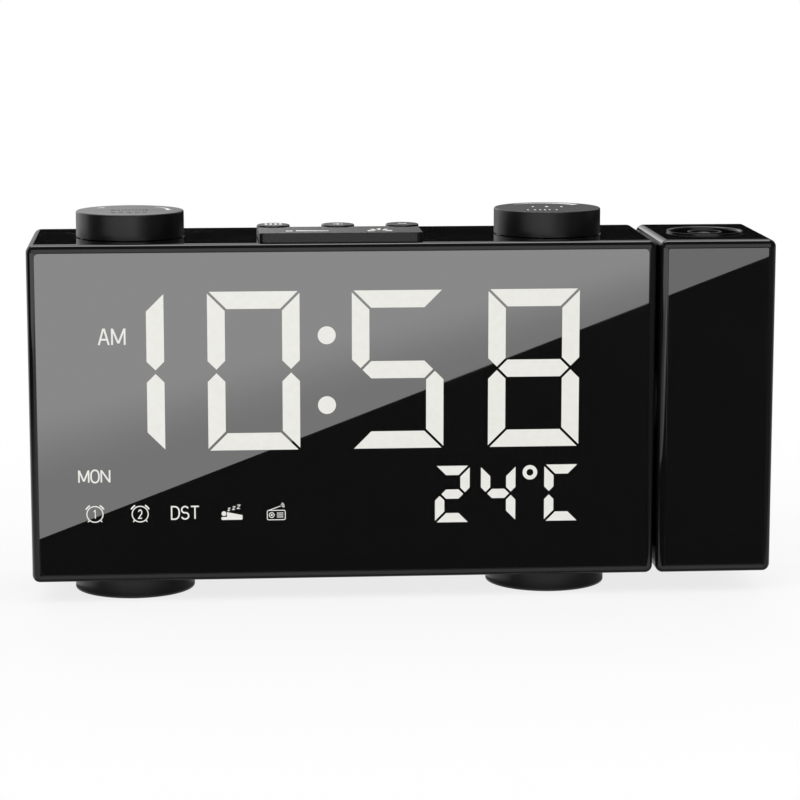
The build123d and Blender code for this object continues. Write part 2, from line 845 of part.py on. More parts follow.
door_face = back - slide_gap
with BuildPart() as cell_door:
    with BuildSketch(upright(door_face)):
        with Locations((cell_x, cell_z)):
            Circle(door_radius)
    extrude(amount=door_thickness, dir=FORWARD)
    with BuildSketch(upright(door_face - door_thickness)):
        with Locations((cell_x, cell_z)):
            Circle(door_hub_radius)
            Circle(door_hub_radius - door_hub_wall, mode=Mode.SUBTRACT)
    extrude(amount=door_face - door_thickness - lug_front, dir=FORWARD)
    with BuildSketch(upright(lug_front + door_lug_depth)):
        with Locations((cell_x, cell_z)):
            with PolarLocations(door_hub_radius, 3, start_angle=90):
                Rectangle(2 * door_lug_reach, door_lug_width)
            Circle(door_hub_radius - door_hub_wall, mode=Mode.SUBTRACT)
    extrude(amount=door_lug_depth, dir=FORWARD)
    with BuildSketch(upright(door_face)):
        with Locations((cell_x, cell_z)):
            SlotOverall(coin_slot_length, coin_slot_width)
    extrude(amount=coin_slot_depth, dir=FORWARD, mode=Mode.SUBTRACT)
finish(cell_door, "cell_door")

# ---------------------------------------------------------------- loudspeaker
# Pressed basket, paper cone and magnet, turned about the loudspeaker's own axis. Each
# profile is drawn with its radius along +X and its depth along +Y, from the cover.
basket_front = speaker_seat - speaker_depth + magnet_height
speaker_axis = Axis((speaker_x, 0, speaker_z), (0, 1, 0))
with BuildPart() as speaker_basket:
    with BuildSketch(Plane.XY.offset(speaker_z)):
        with BuildLine():
            Polyline(
                (speaker_x + speaker_radius, speaker_seat),
                (speaker_x + speaker_radius, speaker_seat - speaker_flange),
                (speaker_x + magnet_radius + basket_step, basket_front),
                (speaker_x, basket_front),
                (speaker_x, basket_front + speaker_flange),
                (speaker_x + magnet_radius, basket_front + speaker_flange),
                (speaker_x + speaker_radius - surround, speaker_seat - speaker_flange / 2),
                (speaker_x + speaker_radius - surround, speaker_seat),
                close=True,
            )
        make_face()
    revolve(axis=speaker_axis)
finish(speaker_basket, "speaker_basket")

with BuildPart() as speaker_magnet:
    with BuildSketch(upright(basket_front - seat_gap)):
        with Locations((speaker_x, speaker_z)):
            Circle(magnet_radius)
    extrude(amount=magnet_height, dir=FORWARD)
finish(speaker_magnet, "speaker_magnet")

cone_radius = speaker_radius - surround - slide_gap
cap_radius = magnet_radius / 2
with BuildPart() as speaker_cone:
    with BuildSketch(Plane.XY.offset(speaker_z)):
        with BuildLine():
            Polyline(
                (speaker_x + cone_radius, speaker_seat),
                (speaker_x + cone_radius, speaker_seat - cone_thickness),
                (speaker_x + cap_radius, basket_front + speaker_flange + cone_thickness),
                (speaker_x, basket_front + speaker_flange + cone_thickness),
                (speaker_x, basket_front + speaker_flange + cone_cap),
                (speaker_x + cap_radius, basket_front + speaker_flange + cone_cap_edge),
                close=True,
            )
        make_face()
    revolve(axis=speaker_axis)
finish(speaker_cone, "speaker_cone")

# ---------------------------------------------------------------- key board
key_board_left = encoder_x[0] - encoder_size / 2 - key_board_rim
key_board_right = encoder_x[1] + encoder_size / 2 + key_board_rim
key_board_front = display_back + display_board_thickness + key_board_gap
key_board_back = encoder_size / 2 + key_board_rim
with BuildPart() as key_board:
    with BuildSketch(level(key_board_top)):
        with Locations(((key_board_left + key_board_right) / 2, (key_board_front + key_board_back) / 2)):
            Rectangle(key_board_right - key_board_left, key_board_back - key_board_front)
        with Locations(*[(x, key_screw_y) for x in key_screw_x]):
            Circle(small_screw_radius + hole_gap, mode=Mode.SUBTRACT)
    extrude(amount=-board_thickness)
finish(key_board, "key_board")

switch_places = [(x, button_y) for x in button_x] + [(x, bar_stem_y) for x in bar_stem_x]
switch_top = key_board_top + switch_height
plunger_top = switch_top + plunger_height
plunger_foot = switch_top - plunger_height - key_travel
with BuildPart() as key_switches:
    with BuildSketch(level(key_board_top)):
        with Locations(*switch_places):
            Rectangle(switch_size, switch_size)
    extrude(amount=switch_height)
    with BuildSketch(level(switch_top)):
        with Locations(*switch_places):
            Circle(plunger_radius + slide_gap)
    extrude(amount=plunger_foot - key_travel - slide_gap - switch_top, mode=Mode.SUBTRACT)
finish(key_switches, "key_switches")

# Rotary encoders: a box round a rotor, with a collar that steadies the shaft.
rotor_bottom = key_board_top + encoder_floor + slide_gap
collar_bore = shaft_radius + run_gap
with BuildPart() as encoder_housings:
    with BuildSketch(level(key_board_top)):
        with Locations(*[(x, 0) for x in encoder_x]):
            Rectangle(encoder_size, encoder_size)
    extrude(amount=encoder_height)
    with BuildSketch(level(key_board_top + encoder_height)):
        with Locations(*[(x, 0) for x in encoder_x]):
            Circle(shaft_radius + rib_wall)
    extrude(amount=encoder_collar)
    with BuildSketch(level(key_board_top + encoder_floor)):
        with Locations(*[(x, 0) for x in encoder_x]):
            Circle(rotor_radius + slide_gap)
    extrude(amount=rotor_height + 2 * slide_gap, mode=Mode.SUBTRACT)
    with BuildSketch(level(key_board_top + encoder_floor)):
        with Locations(*[(x, 0) for x in encoder_x]):
            Circle(collar_bore)
    extrude(amount=encoder_height + encoder_collar, mode=Mode.SUBTRACT)
finish(encoder_housings, "encoder_housings")

# Each knob sits on its encoder's flatted shaft. The shaft turns the rotor and slides
# through it when the knob is pressed.
shaft_bottom = rotor_bottom + knob_travel
knob_top = top + knob_rise
knob_bottom = top + knob_gap
hub_top = knob_top - knob_roof
for side, x in zip(("left", "right"), encoder_x):
    with BuildPart() as encoder_rotor:
        with BuildSketch(level(rotor_bottom)):
            with Locations((x, 0)):
                Circle(rotor_radius)
        extrude(amount=rotor_height)
        with BuildSketch(level(rotor_bottom)):
            with Locations((x, 0)):
                Circle(shaft_radius + run_gap)
            with Locations((x, shaft_flat + run_gap + shaft_radius)):
                Rectangle(3 * shaft_radius, 2 * shaft_radius, mode=Mode.SUBTRACT)
        extrude(amount=rotor_height, mode=Mode.SUBTRACT)
    finish(encoder_rotor, f"{side}_encoder_rotor")

    with BuildPart() as encoder_shaft:
        with BuildSketch(level(shaft_bottom)):
            with Locations((x, 0)):
                Circle(shaft_radius)
            with Locations((x, shaft_flat + shaft_radius)):
                Rectangle(3 * shaft_radius, 2 * shaft_radius, mode=Mode.SUBTRACT)
        extrude(amount=hub_top - seat_gap - shaft_bottom)
    finish(encoder_shaft, f"{side}_encoder_shaft")

    with BuildPart() as knob:
        with BuildSketch(level(knob_bottom)):
            with Locations((x, 0)):
                Circle(knob_radius)
        extrude(amount=knob_top - knob_bottom)
        fillet(knob.edges().sort_by(Axis.Z)[-1], radius=knob_edge)
        with BuildSketch(level(knob_bottom)):
            with Locations((x, 0)):
                Circle(knob_radius - knob_skirt)
                Circle(knob_hub_radius, mode=Mode.SUBTRACT)
        extrude(amount=hub_top - knob_bottom, mode=Mode.SUBTRACT)
        with BuildSketch(level(knob_bottom)):
            with Locations((x, 0)):
                Circle(shaft_radius + run_gap)
            with Locations((x, shaft_flat + run_gap + shaft_radius)):
                Rectangle(3 * shaft_radius, 2 * shaft_radius, mode=Mode.SUBTRACT)
        extrude(amount=hub_top - knob_bottom, mode=Mode.SUBTRACT)
    finish(knob, f"{side}_knob")

# ---------------------------------------------------------------- control bar
# A hollow cap with a scallop at its back edge for each button. A hook at each end
# catches under the roof, and two stems rest on the bar's own switches.
bar_top = top + bar_rise
bar_skirt = roof_inside + key_travel + fit_gap
hook_top = roof_inside - seat_gap
hook_x = bar_width / 2 - bar_wall / 2
with BuildPart() as control_bar:
    with BuildSketch(level(bar_skirt)):
        with Locations((bar_mid, bar_y)):
            RectangleRounded(bar_width, bar_depth, bar_corner)
        with Locations(*[(x, button_y) for x in button_x]):
            Circle(button_radius + notch_gap, mode=Mode.SUBTRACT)
    extrude(amount=bar_top - bar_skirt)
    fillet(control_bar.faces().sort_by(Axis.Z)[-1].edges(), radius=bar_edge)
    with BuildSketch(level(bar_skirt)):
        with Locations((bar_mid, bar_y)):
            Rectangle(bar_width - 2 * bar_wall, bar_depth - 2 * bar_wall)
        with Locations(*[(x, button_y) for x in button_x]):
            Circle(button_radius + notch_gap + bar_wall, mode=Mode.SUBTRACT)
    extrude(amount=bar_top - bar_roof - bar_skirt, mode=Mode.SUBTRACT)
    with BuildSketch(level(bar_skirt)):
        with Locations((bar_mid, bar_y)):
            with GridLocations(2 * hook_x, 0, 2, 1):
                Rectangle(bar_wall, hook_length)
    extrude(amount=hook_top - flange_thickness - bar_skirt)
    with BuildSketch(level(hook_top)):
        with Locations((bar_mid, bar_y)):
            with GridLocations(2 * (hook_x + hook_reach / 2), 0, 2, 1):
                Rectangle(bar_wall + hook_reach, hook_length)
    extrude(amount=-flange_thickness)
    with BuildSketch(level(bar_top - bar_roof)):
        with Locations(*[(x, bar_stem_y) for x in bar_stem_x]):
            Circle(stem_radius)
    extrude(amount=plunger_top + seat_gap - bar_top + bar_roof)
finish(control_bar, "control_bar")

with BuildPart() as bar_plungers:
    with BuildSketch(level(plunger_foot)):
        with Locations(*[(x, bar_stem_y) for x in bar_stem_x]):
            Circle(plunger_radius)
    extrude(amount=plunger_top - plunger_foot)
finish(bar_plungers, "bar_plungers")

# ---------------------------------------------------------------- round buttons
button_top = top + button_rise
for side, x in zip(("left", "middle", "right"), button_x):
    with BuildPart() as button:
        with BuildSketch(level(hook_top - flange_thickness)):
            with Locations((x, button_y)):
                Circle(button_radius + key_gap + button_flange)
        extrude(amount=flange_thickness)
        with BuildSketch(level(hook_top)):
            with Locations((x, button_y)):
                Circle(button_radius)
        extrude(amount=button_top - hook_top)
        fillet(button.edges().sort_by(Axis.Z)[-1], radius=bar_edge)
        with BuildSketch(level(hook_top - flange_thickness)):
            with Locations((x, button_y)):
                Circle(stem_radius)
        extrude(amount=plunger_top + seat_gap - hook_top + flange_thickness)
    finish(button, f"{side}_button")

    with BuildPart() as plunger:
        with BuildSketch(level(plunger_foot)):
            with Locations((x, button_y)):
                Circle(plunger_radius)
        extrude(amount=plunger_top - plunger_foot)
    finish(plunger, f"{side}_plunger")

# ---------------------------------------------------------------- feet
foot_face = underside - seat_gap
for side, x in zip(("left", "right"), encoder_x):
    with BuildPart() as foot:
        with BuildSketch(level(foot_lift)):
            with Locations((x, 0)):
                Circle(foot_radius)
        extrude(amount=foot_face - foot_lift)
        fillet(foot.edges(), radius=foot_edge)
        with BuildSketch(level(foot_lift)):
            with Locations((x, 0)):
                Circle(pad_radius + slide_gap)
        extrude(amount=pad_recess, mode=Mode.SUBTRACT)
        with BuildSketch(level(foot_lift)):
            with Locations((x, 0)):
                Circle(foot_screw_radius + hole_gap)
        extrude(amount=foot_face - foot_lift, mode=Mode.SUBTRACT)
        with BuildSketch(level(foot_lift)):
            with Locations((x, 0)):
                Circle(foot_screw_head_radius + hole_gap)
        extrude(amount=pad_recess + foot_screw_head + slide_gap, mode=Mode.SUBTRACT)
    finish(foot, f"{side}_foot")

with BuildPart() as foot_pads:
    with BuildSketch(level(0)):
        with Locations(*[(x, 0) for x in encoder_x]):
            Circle(pad_radius)
    extrude(amount=foot_lift + pad_recess - seat_gap)
finish(foot_pads, "foot_pads")

# Four screws pull the cover onto the sleeve's bosses, and one holds each foot.
screw_face = back - screw_sink
foot_head_top = foot_lift + pad_recess + slide_gap + foot_screw_head
foot_screw_length = underside - foot_head_top + foot_boss_height - slide_gap
with BuildPart() as case_screws:
    for face, radius, amount in (
        (screw_face, screw_head_radius, screw_head),
        (screw_face - screw_head, screw_radius, screw_length),
    ):
        with BuildSketch(upright(face)):
            with Locations((body_mid, mid_height)):
                with GridLocations(2 * cover_screw_x, 2 * cover_screw_z, 2, 2):
                    Circle(radius)
        extrude(amount=amount, dir=FORWARD)
    for radius, amount in (
        (foot_screw_head_radius, -foot_screw_head),
        (foot_screw_radius, foot_screw_length),
    ):
        with BuildSketch(level(foot_head_top)):
            with Locations(*[(x, 0) for x in encoder_x]):
                Circle(radius)
        extrude(amount=amount)
finish(case_screws, "case_screws")

# Small screws of the display board, the main board and the key board.
with BuildPart() as board_screws:
    with BuildSketch(upright(display_back + display_board_thickness)):
        with Locations((body_mid, mid_height)):
            with GridLocations(2 * display_post_x, 2 * display_post_z, 2, 2):
                Circle(small_head_radius)
    extrude(amount=small_head, dir=REARWARD)
    with BuildSketch(upright(display_back + display_board_thickness)):
        with Locations((body_mid, mid_height)):
            with GridLocations(2 * display_post_x, 2 * display_post_z, 2, 2):
                Circle(small_screw_radius)
    extrude(amount=board_screw_length, dir=FORWARD)
    with BuildSketch(upright(main_board_front)):
        with Locations((main_board_x, main_board_z)):
            with GridLocations(post_pitch_x, post_pitch_z, 2, 2):
                Circle(small_head_radius)
    extrude(amount=small_head, dir=FORWARD)
    with BuildSketch(upright(main_board_front)):
        with Locations((main_board_x, main_board_z)):
            with GridLocations(post_pitch_x, post_pitch_z, 2, 2):
                Circle(small_screw_radius)
    extrude(amount=board_screw_length, dir=REARWARD)
    with BuildSketch(level(key_board_top - board_thickness)):
        with Locations(*[(x, key_screw_y) for x in key_screw_x]):
            Circle(small_head_radius)
    extrude(amount=-small_head)
    with BuildSketch(level(key_board_top - board_thickness)):
        with Locations(*[(x, key_screw_y) for x in key_screw_x]):
            Circle(small_screw_radius)
    extrude(amount=board_screw_length)
finish(board_screws, "board_screws")

# ---------------------------------------------------------------- head's pivot
# The hollow axle is flanged inside the head. It runs in a bush in the body's side
# wall, through a slip washer in the gap, and is held by a spring ring behind a wave
# washer, which gives the friction that keeps the head where it is turned.
ring_face = stop_face - stop_plate - seat_gap
axle_end = ring_face - ring_thickness - axle_tail
head_inner = head_left + wall
tab_reach = 2 * bush_flange_radius

with BuildPart() as pivot_bush:
    with BuildSketch(along(bush_inner)):
        with Locations((0, mid_height)):
            Circle(bush_flange_radius)
    extrude(amount=bush_flange - seat_gap)
    with BuildSketch(along(bush_inner)):
        with Locations((0, mid_height)):
            Circle(pivot_hole)
    extrude(amount=body_right - bush_inner)
    # stop lug: an arc below the axle that the stop plate's tab meets at either end
    stop_arc = 180 - head_turn - stop_slack - stop_tab_angle / 2
    lug_y = tab_reach * sin(radians(stop_arc))
    lug_z = mid_height - tab_reach * cos(radians(stop_arc))
    with BuildSketch(along(bush_inner)):
        with Locations((0, mid_height)):
            Circle(bush_flange_radius)
            Circle(bush_flange_radius - stop_lug_wall, mode=Mode.SUBTRACT)
        with BuildLine():
            Polyline(
                (0, mid_height),
                (lug_y, lug_z),
                (tab_reach, mid_height - tab_reach),
                (-tab_reach, mid_height - tab_reach),
                (-lug_y, lug_z),
                close=True,
            )
        make_face(mode=Mode.INTERSECT)
    extrude(amount=stop_face - stop_plate - bush_inner)
    with BuildSketch(along(axle_end)):
        with Locations((0, mid_height)):
            Circle(axle_radius + run_gap)
    extrude(amount=body_right - axle_end, mode=Mode.SUBTRACT)
finish(pivot_bush, "pivot_bush")

# Slip washer in the gap between body and head, wave washer behind the bush.
with BuildPart() as slip_washer:
    with BuildSketch(along(body_right + seat_gap)):
        with Locations((0, mid_height)):
            Circle(slip_radius)
            Circle(axle_radius + run_gap, mode=Mode.SUBTRACT)
    extrude(amount=head_gap - 2 * seat_gap)
finish(slip_washer, "slip_washer")

with BuildPart() as wave_washer:
    with BuildSketch(along(wave_face - wave_thickness)):
        with Locations((0, mid_height)):
            Circle(stop_plate_radius)
            Circle(axle_radius + run_gap, mode=Mode.SUBTRACT)
    extrude(amount=wave_thickness)
finish(wave_washer, "wave_washer")

# The stop plate is keyed to the axle's flats. Its tab points up at rest.
with BuildPart() as stop_plate_part:
    with BuildSketch(along(stop_face - stop_plate)):
        with Locations((0, mid_height)):
            Circle(bush_flange_radius - notch_gap)
        with BuildLine():
            Polyline(
                (0, mid_height),
                (tab_reach * sin(radians(stop_tab_angle / 2)), mid_height + tab_reach),
                (-tab_reach * sin(radians(stop_tab_angle / 2)), mid_height + tab_reach),
                close=True,
            )
        make_face(mode=Mode.INTERSECT)
        with Locations((0, mid_height)):
            Circle(stop_plate_radius)
    extrude(amount=stop_plate)
    with BuildSketch(along(stop_face - stop_plate)):
        with Locations((0, mid_height)):
            Circle(axle_radius + run_gap)
            Rectangle(2 * (axle_flat + run_gap), 3 * axle_radius, mode=Mode.INTERSECT)
    extrude(amount=stop_plate, mode=Mode.SUBTRACT)
finish(stop_plate_part, "stop_plate")

# Spring ring in the axle's groove, open on one side.
with BuildPart() as retaining_ring:
    with BuildSketch(along(ring_face - ring_thickness)):
        with Locations((0, mid_height)):
            Circle(axle_radius + ring_reach)
            Circle(axle_radius - ring_groove + seat_gap, mode=Mode.SUBTRACT)
        with Locations((0, mid_height - axle_radius)):
            Rectangle(axle_radius, 2 * axle_radius, mode=Mode.SUBTRACT)
    extrude(amount=ring_thickness)
finish(retaining_ring, "retaining_ring")

with BuildPart() as pivot_axle:
    with BuildSketch(along(head_inner)):
        with Locations((0, mid_height)):
            Circle(axle_flange_radius)
    extrude(amount=axle_flange)
    with BuildSketch(along(axle_end)):
        with Locations((0, mid_height)):
            Circle(axle_radius)
    extrude(amount=head_inner - axle_end)
    # flats for the stop plate, groove for the spring ring
    with BuildSketch(along(axle_end)):
        with Locations((0, mid_height)):
            with GridLocations(2 * (axle_flat + axle_radius), 0, 2, 1):
                Rectangle(2 * axle_radius, 2 * axle_radius)
    extrude(amount=stop_face - axle_end, mode=Mode.SUBTRACT)
    with BuildSketch(along(ring_face - ring_thickness - seat_gap)):
        with Locations((0, mid_height)):
            Circle(axle_radius + seat_gap)
            Circle(axle_radius - ring_groove, mode=Mode.SUBTRACT)
    extrude(amount=ring_thickness + 2 * seat_gap, mode=Mode.SUBTRACT)
    # hollow for the head's lead, screw holes in the flange
    with BuildSketch(along(axle_end)):
        with Locations((0, mid_height)):
            Circle(axle_bore)
    extrude(amount=overall_width, mode=Mode.SUBTRACT)
    with BuildSketch(along(head_inner)):
        with Locations((0, mid_height)):
            with PolarLocations(flange_screw_radius, 3, start_angle=90):
                Circle(small_screw_radius + hole_gap)
    extrude(amount=axle_flange, mode=Mode.SUBTRACT)
finish(pivot_axle, "pivot_axle")

# ---------------------------------------------------------------- head's shell
head_screw_x = head_width / 2 - wall - boss_radius + boss_bite
head_screw_z = head_screw_pitch / 2
ear_back = -tube_radius + tube_wall
ear_front = ear_back - ear_thickness
head_board_back = head_board_y + board_thickness
with BuildPart() as head_casing:
    with Locations((head_mid, 0, mid_height)):
        Box(head_width, body_depth, body_height)
    fillet(head_casing.edges(), radius=edge_radius)
    split(bisect_by=upright(seam), keep=Keep.TOP)
    with BuildSketch(upright(ledge_back)):
        with Locations((head_mid, mid_height)):
            Rectangle(head_width - 2 * wall, body_height - 2 * wall)
    extrude(amount=body_depth, dir=REARWARD, mode=Mode.SUBTRACT)
    with BuildSketch(upright(front)):
        with Locations((head_mid, mid_height)):
            Rectangle(head_width - 2 * window_border, body_height - 2 * window_border)
    extrude(amount=window_seat - front, dir=REARWARD, mode=Mode.SUBTRACT)
    # bosses for the cover, for the optics tube's ears and for the head's board
    with BuildSketch(upright(boss_front)):
        with Locations((head_mid, mid_height)):
            with GridLocations(2 * head_screw_x, 2 * head_screw_z, 2, 2):
                Circle(boss_radius)
    extrude(amount=head_boss_length, dir=FORWARD)
    with BuildSketch(upright(ledge_back)):
        with Locations((head_mid, ear_level)):
            with GridLocations(ear_pitch, 0, 2, 1):
                Circle(post_radius - boss_bite)
    extrude(amount=ear_front - seat_gap - ledge_back, dir=REARWARD)
    with BuildSketch(upright(ledge_back)):
        with Locations((head_mid, head_board_z)):
            with GridLocations(0, head_board_pitch, 1, 2):
                Circle(post_radius)
    extrude(amount=head_board_y - seat_gap - ledge_back, dir=REARWARD)
    # their screw holes
    with BuildSketch(upright(boss_front)):
        with Locations((head_mid, mid_height)):
            with GridLocations(2 * head_screw_x, 2 * head_screw_z, 2, 2):
                Circle(screw_radius + seat_gap)
    extrude(amount=head_boss_length, dir=FORWARD, mode=Mode.SUBTRACT)
    with BuildSketch(upright(ear_front)):
        with Locations((head_mid, ear_level)):
            with GridLocations(ear_pitch, 0, 2, 1):
                Circle(small_screw_radius + seat_gap)
    extrude(amount=ear_front - ledge_back, dir=FORWARD, mode=Mode.SUBTRACT)
    with BuildSketch(upright(head_board_y)):
        with Locations((head_mid, head_board_z)):
            with GridLocations(0, head_board_pitch, 1, 2):
                Circle(small_screw_radius + seat_gap)
    extrude(amount=head_board_y - ledge_back, dir=FORWARD, mode=Mode.SUBTRACT)
    # hole for the axle with its three screws, and the opening for the focus ring
    with BuildSketch(along(head_left)):
        with Locations((0, mid_height)):
            Circle(axle_radius + seat_gap)
    extrude(amount=wall, mode=Mode.SUBTRACT)
    with BuildSketch(along(head_inner)):
        with Locations((0, mid_height)):
            with PolarLocations(flange_screw_radius, 3, start_angle=90):
                Circle(small_screw_radius + seat_gap)
    extrude(amount=-wall + hole_gap, mode=Mode.SUBTRACT)
    with BuildSketch(level(roof_inside)):
        with Locations((head_mid, 0)):
            Circle(focus_ring_radius + run_gap)
    extrude(amount=wall, mode=Mode.SUBTRACT)
finish(head_casing, "head_casing")

with BuildPart() as head_cover:
    with Locations((head_mid, 0, mid_height)):
        Box(head_width, body_depth, body_height)
    fillet(head_cover.edges(), radius=edge_radius)
    split(bisect_by=upright(seam), keep=Keep.BOTTOM)
    with BuildSketch(upright(cover_inside)):
        with Locations((head_mid, mid_height)):
            Rectangle(head_width - 2 * wall, body_height - 2 * wall)
    extrude(amount=cover_depth, dir=FORWARD, mode=Mode.SUBTRACT)
    with BuildSketch(upright(cover_inside)):
        with Locations((head_mid, mid_height)):
            Rectangle(head_width - 2 * (wall + fit_gap), body_height - 2 * (wall + fit_gap))
            Rectangle(
                head_width - 2 * (wall + fit_gap + lip_wall),
                body_height - 2 * (wall + fit_gap + lip_wall),
                mode=Mode.SUBTRACT,
            )
            with GridLocations(2 * head_screw_x, 2 * head_screw_z, 2, 2):
                Circle(boss_radius - boss_bite - fit_gap)
    extrude(amount=cover_inside - lip_front_edge, dir=FORWARD)
    with BuildSketch(upright(back)):
        with Locations((head_mid, mid_height)):
            with GridLocations(2 * head_screw_x, 2 * head_screw_z, 2, 2):
                Circle(screw_radius + hole_gap)
    extrude(amount=back - lip_front_edge, dir=FORWARD, mode=Mode.SUBTRACT)
    with BuildSketch(upright(back)):
        with Locations((head_mid, mid_height)):
            with GridLocations(2 * head_screw_x, 2 * head_screw_z, 2, 2):
                Circle(screw_head_radius + hole_gap)
    extrude(amount=screw_head + screw_sink, dir=FORWARD, mode=Mode.SUBTRACT)
finish(head_cover, "head_cover")

with BuildPart() as head_window:
    with BuildSketch(upright(front)):
        with Locations((head_mid, mid_height)):
            Rectangle(
                head_width - 2 * (window_border + window_gap),
                body_height - 2 * (window_border + window_gap),
            )
    extrude(amount=window_thickness, dir=REARWARD)
finish(head_window, "head_window")

# Screws of the cover, the axle's flange, the optics tube's ears and the head's board.
flange_face = head_inner + axle_flange
with BuildPart() as head_screws:
    for face, radius, amount in (
        (screw_face, screw_head_radius, screw_head),
        (screw_face - screw_head, screw_radius, head_screw_length),
    ):
        with BuildSketch(upright(face)):
            with Locations((head_mid, mid_height)):
                with GridLocations(2 * head_screw_x, 2 * head_screw_z, 2, 2):
                    Circle(radius)
        extrude(amount=amount, dir=FORWARD)
    for radius, amount in ((small_head_radius, small_head), (small_screw_radius, -flange_screw_length)):
        with BuildSketch(along(flange_face)):
            with Locations((0, mid_height)):
                with PolarLocations(flange_screw_radius, 3, start_angle=90):
                    Circle(radius)
        extrude(amount=amount)
    for radius, amount in ((small_head_radius, -small_head), (small_screw_radius, board_screw_length)):
        with BuildSketch(upright(ear_back)):
            with Locations((head_mid, ear_level)):
                with GridLocations(ear_pitch, 0, 2, 1):
                    Circle(radius)
        extrude(amount=amount)
        with BuildSketch(upright(head_board_back)):
            with Locations((head_mid, head_board_z)):
                with GridLocations(0, head_board_pitch, 1, 2):
                    Circle(radius)
        extrude(amount=amount)
finish(head_screws, "head_screws")

# ---------------------------------------------------------------- projector optics
# The focus ring is held between the roof and the collar of the optics tube. Its web
# is threaded on the lens barrel, which two keys keep from turning in the tube.
ring_top = top + focus_proud
recess_floor = ring_top - focus_recess
ring_bottom = recess_floor - focus_web
ring_flange_top = roof_inside - seat_gap
ring_flange_bottom = ring_flange_top - focus_flange
barrel_top = top + barrel_rise
barrel_bottom = barrel_top - barrel_length
with BuildPart() as focus_ring:
    with BuildSketch(level(ring_bottom)):
        with Locations((head_mid, 0)):
            Circle(focus_ring_radius)
    extrude(amount=ring_top - ring_bottom)
    chamfer(focus_ring.edges().sort_by(Axis.Z)[-1], length=focus_chamfer)
    with BuildSketch(level(ring_flange_bottom)):
        with Locations((head_mid, 0)):
            Circle(focus_ring_radius + focus_flange)
    extrude(amount=focus_flange)
    with BuildSketch(level(recess_floor)):
        with Locations((head_mid, 0)):
            Circle(focus_ring_radius - focus_lip)
            Circle(barrel_radius + focus_web, mode=Mode.SUBTRACT)
    extrude(amount=focus_recess, mode=Mode.SUBTRACT)
    with BuildSketch(level(recess_floor + focus_web)):
        with Locations((head_mid, 0)):
            Circle(focus_ring_radius - focus_lip)
    extrude(amount=focus_recess, mode=Mode.SUBTRACT)
    with BuildSketch(level(ring_bottom)):
        with Locations((head_mid, 0)):
            Circle(barrel_radius + run_gap)
    extrude(amount=focus_recess, mode=Mode.SUBTRACT)
finish(focus_ring, "focus_ring")

lens_seat = barrel_top - lens_thickness - lens_sink
with BuildPart() as lens_barrel:
    with BuildSketch(level(barrel_bottom)):
        with Locations((head_mid, 0)):
            Circle(barrel_radius)
    extrude(amount=barrel_length)
    with BuildSketch(level(barrel_bottom)):
        with Locations((head_mid, 0)):
            Rectangle(key_width, 2 * (barrel_radius + key_reach))
    extrude(amount=key_length)
    with BuildSketch(level(barrel_bottom)):
        with Locations((head_mid, 0)):
            Circle(barrel_radius - 2 * barrel_wall)
    extrude(amount=barrel_length, mode=Mode.SUBTRACT)
    with BuildSketch(level(lens_seat)):
        with Locations((head_mid, 0)):
            Circle(barrel_radius - barrel_wall)
    extrude(amount=barrel_length, mode=Mode.SUBTRACT)
finish(lens_barrel, "lens_barrel")

# Lenses: flat below, domed above, turned about the optical axis.
optical_axis = Axis((head_mid, 0, 0), (0, 0, 1))
for name, radius, foot_z, thickness, dome in (
    ("projection_lens", barrel_radius - barrel_wall - seat_gap, lens_seat, lens_thickness, lens_dome),
    ("condenser_lens", condenser_radius, condenser_level, condenser_thickness, condenser_dome),
):
    rim = foot_z + thickness - dome
    with BuildPart() as lens:
        with BuildSketch(Plane.XZ):
            with BuildLine():
                Polyline((head_mid, foot_z), (head_mid + radius, foot_z), (head_mid + radius, rim))
                SagittaArc((head_mid + radius, rim), (head_mid - radius, rim), -dome)
                Polyline((head_mid - radius, rim), (head_mid - radius, foot_z), (head_mid, foot_z))
            make_face()
            with Locations((head_mid - overall_width / 2, mid_height)):
                Rectangle(overall_width, 2 * top, mode=Mode.SUBTRACT)
        revolve(axis=optical_axis)
    finish(lens, name)

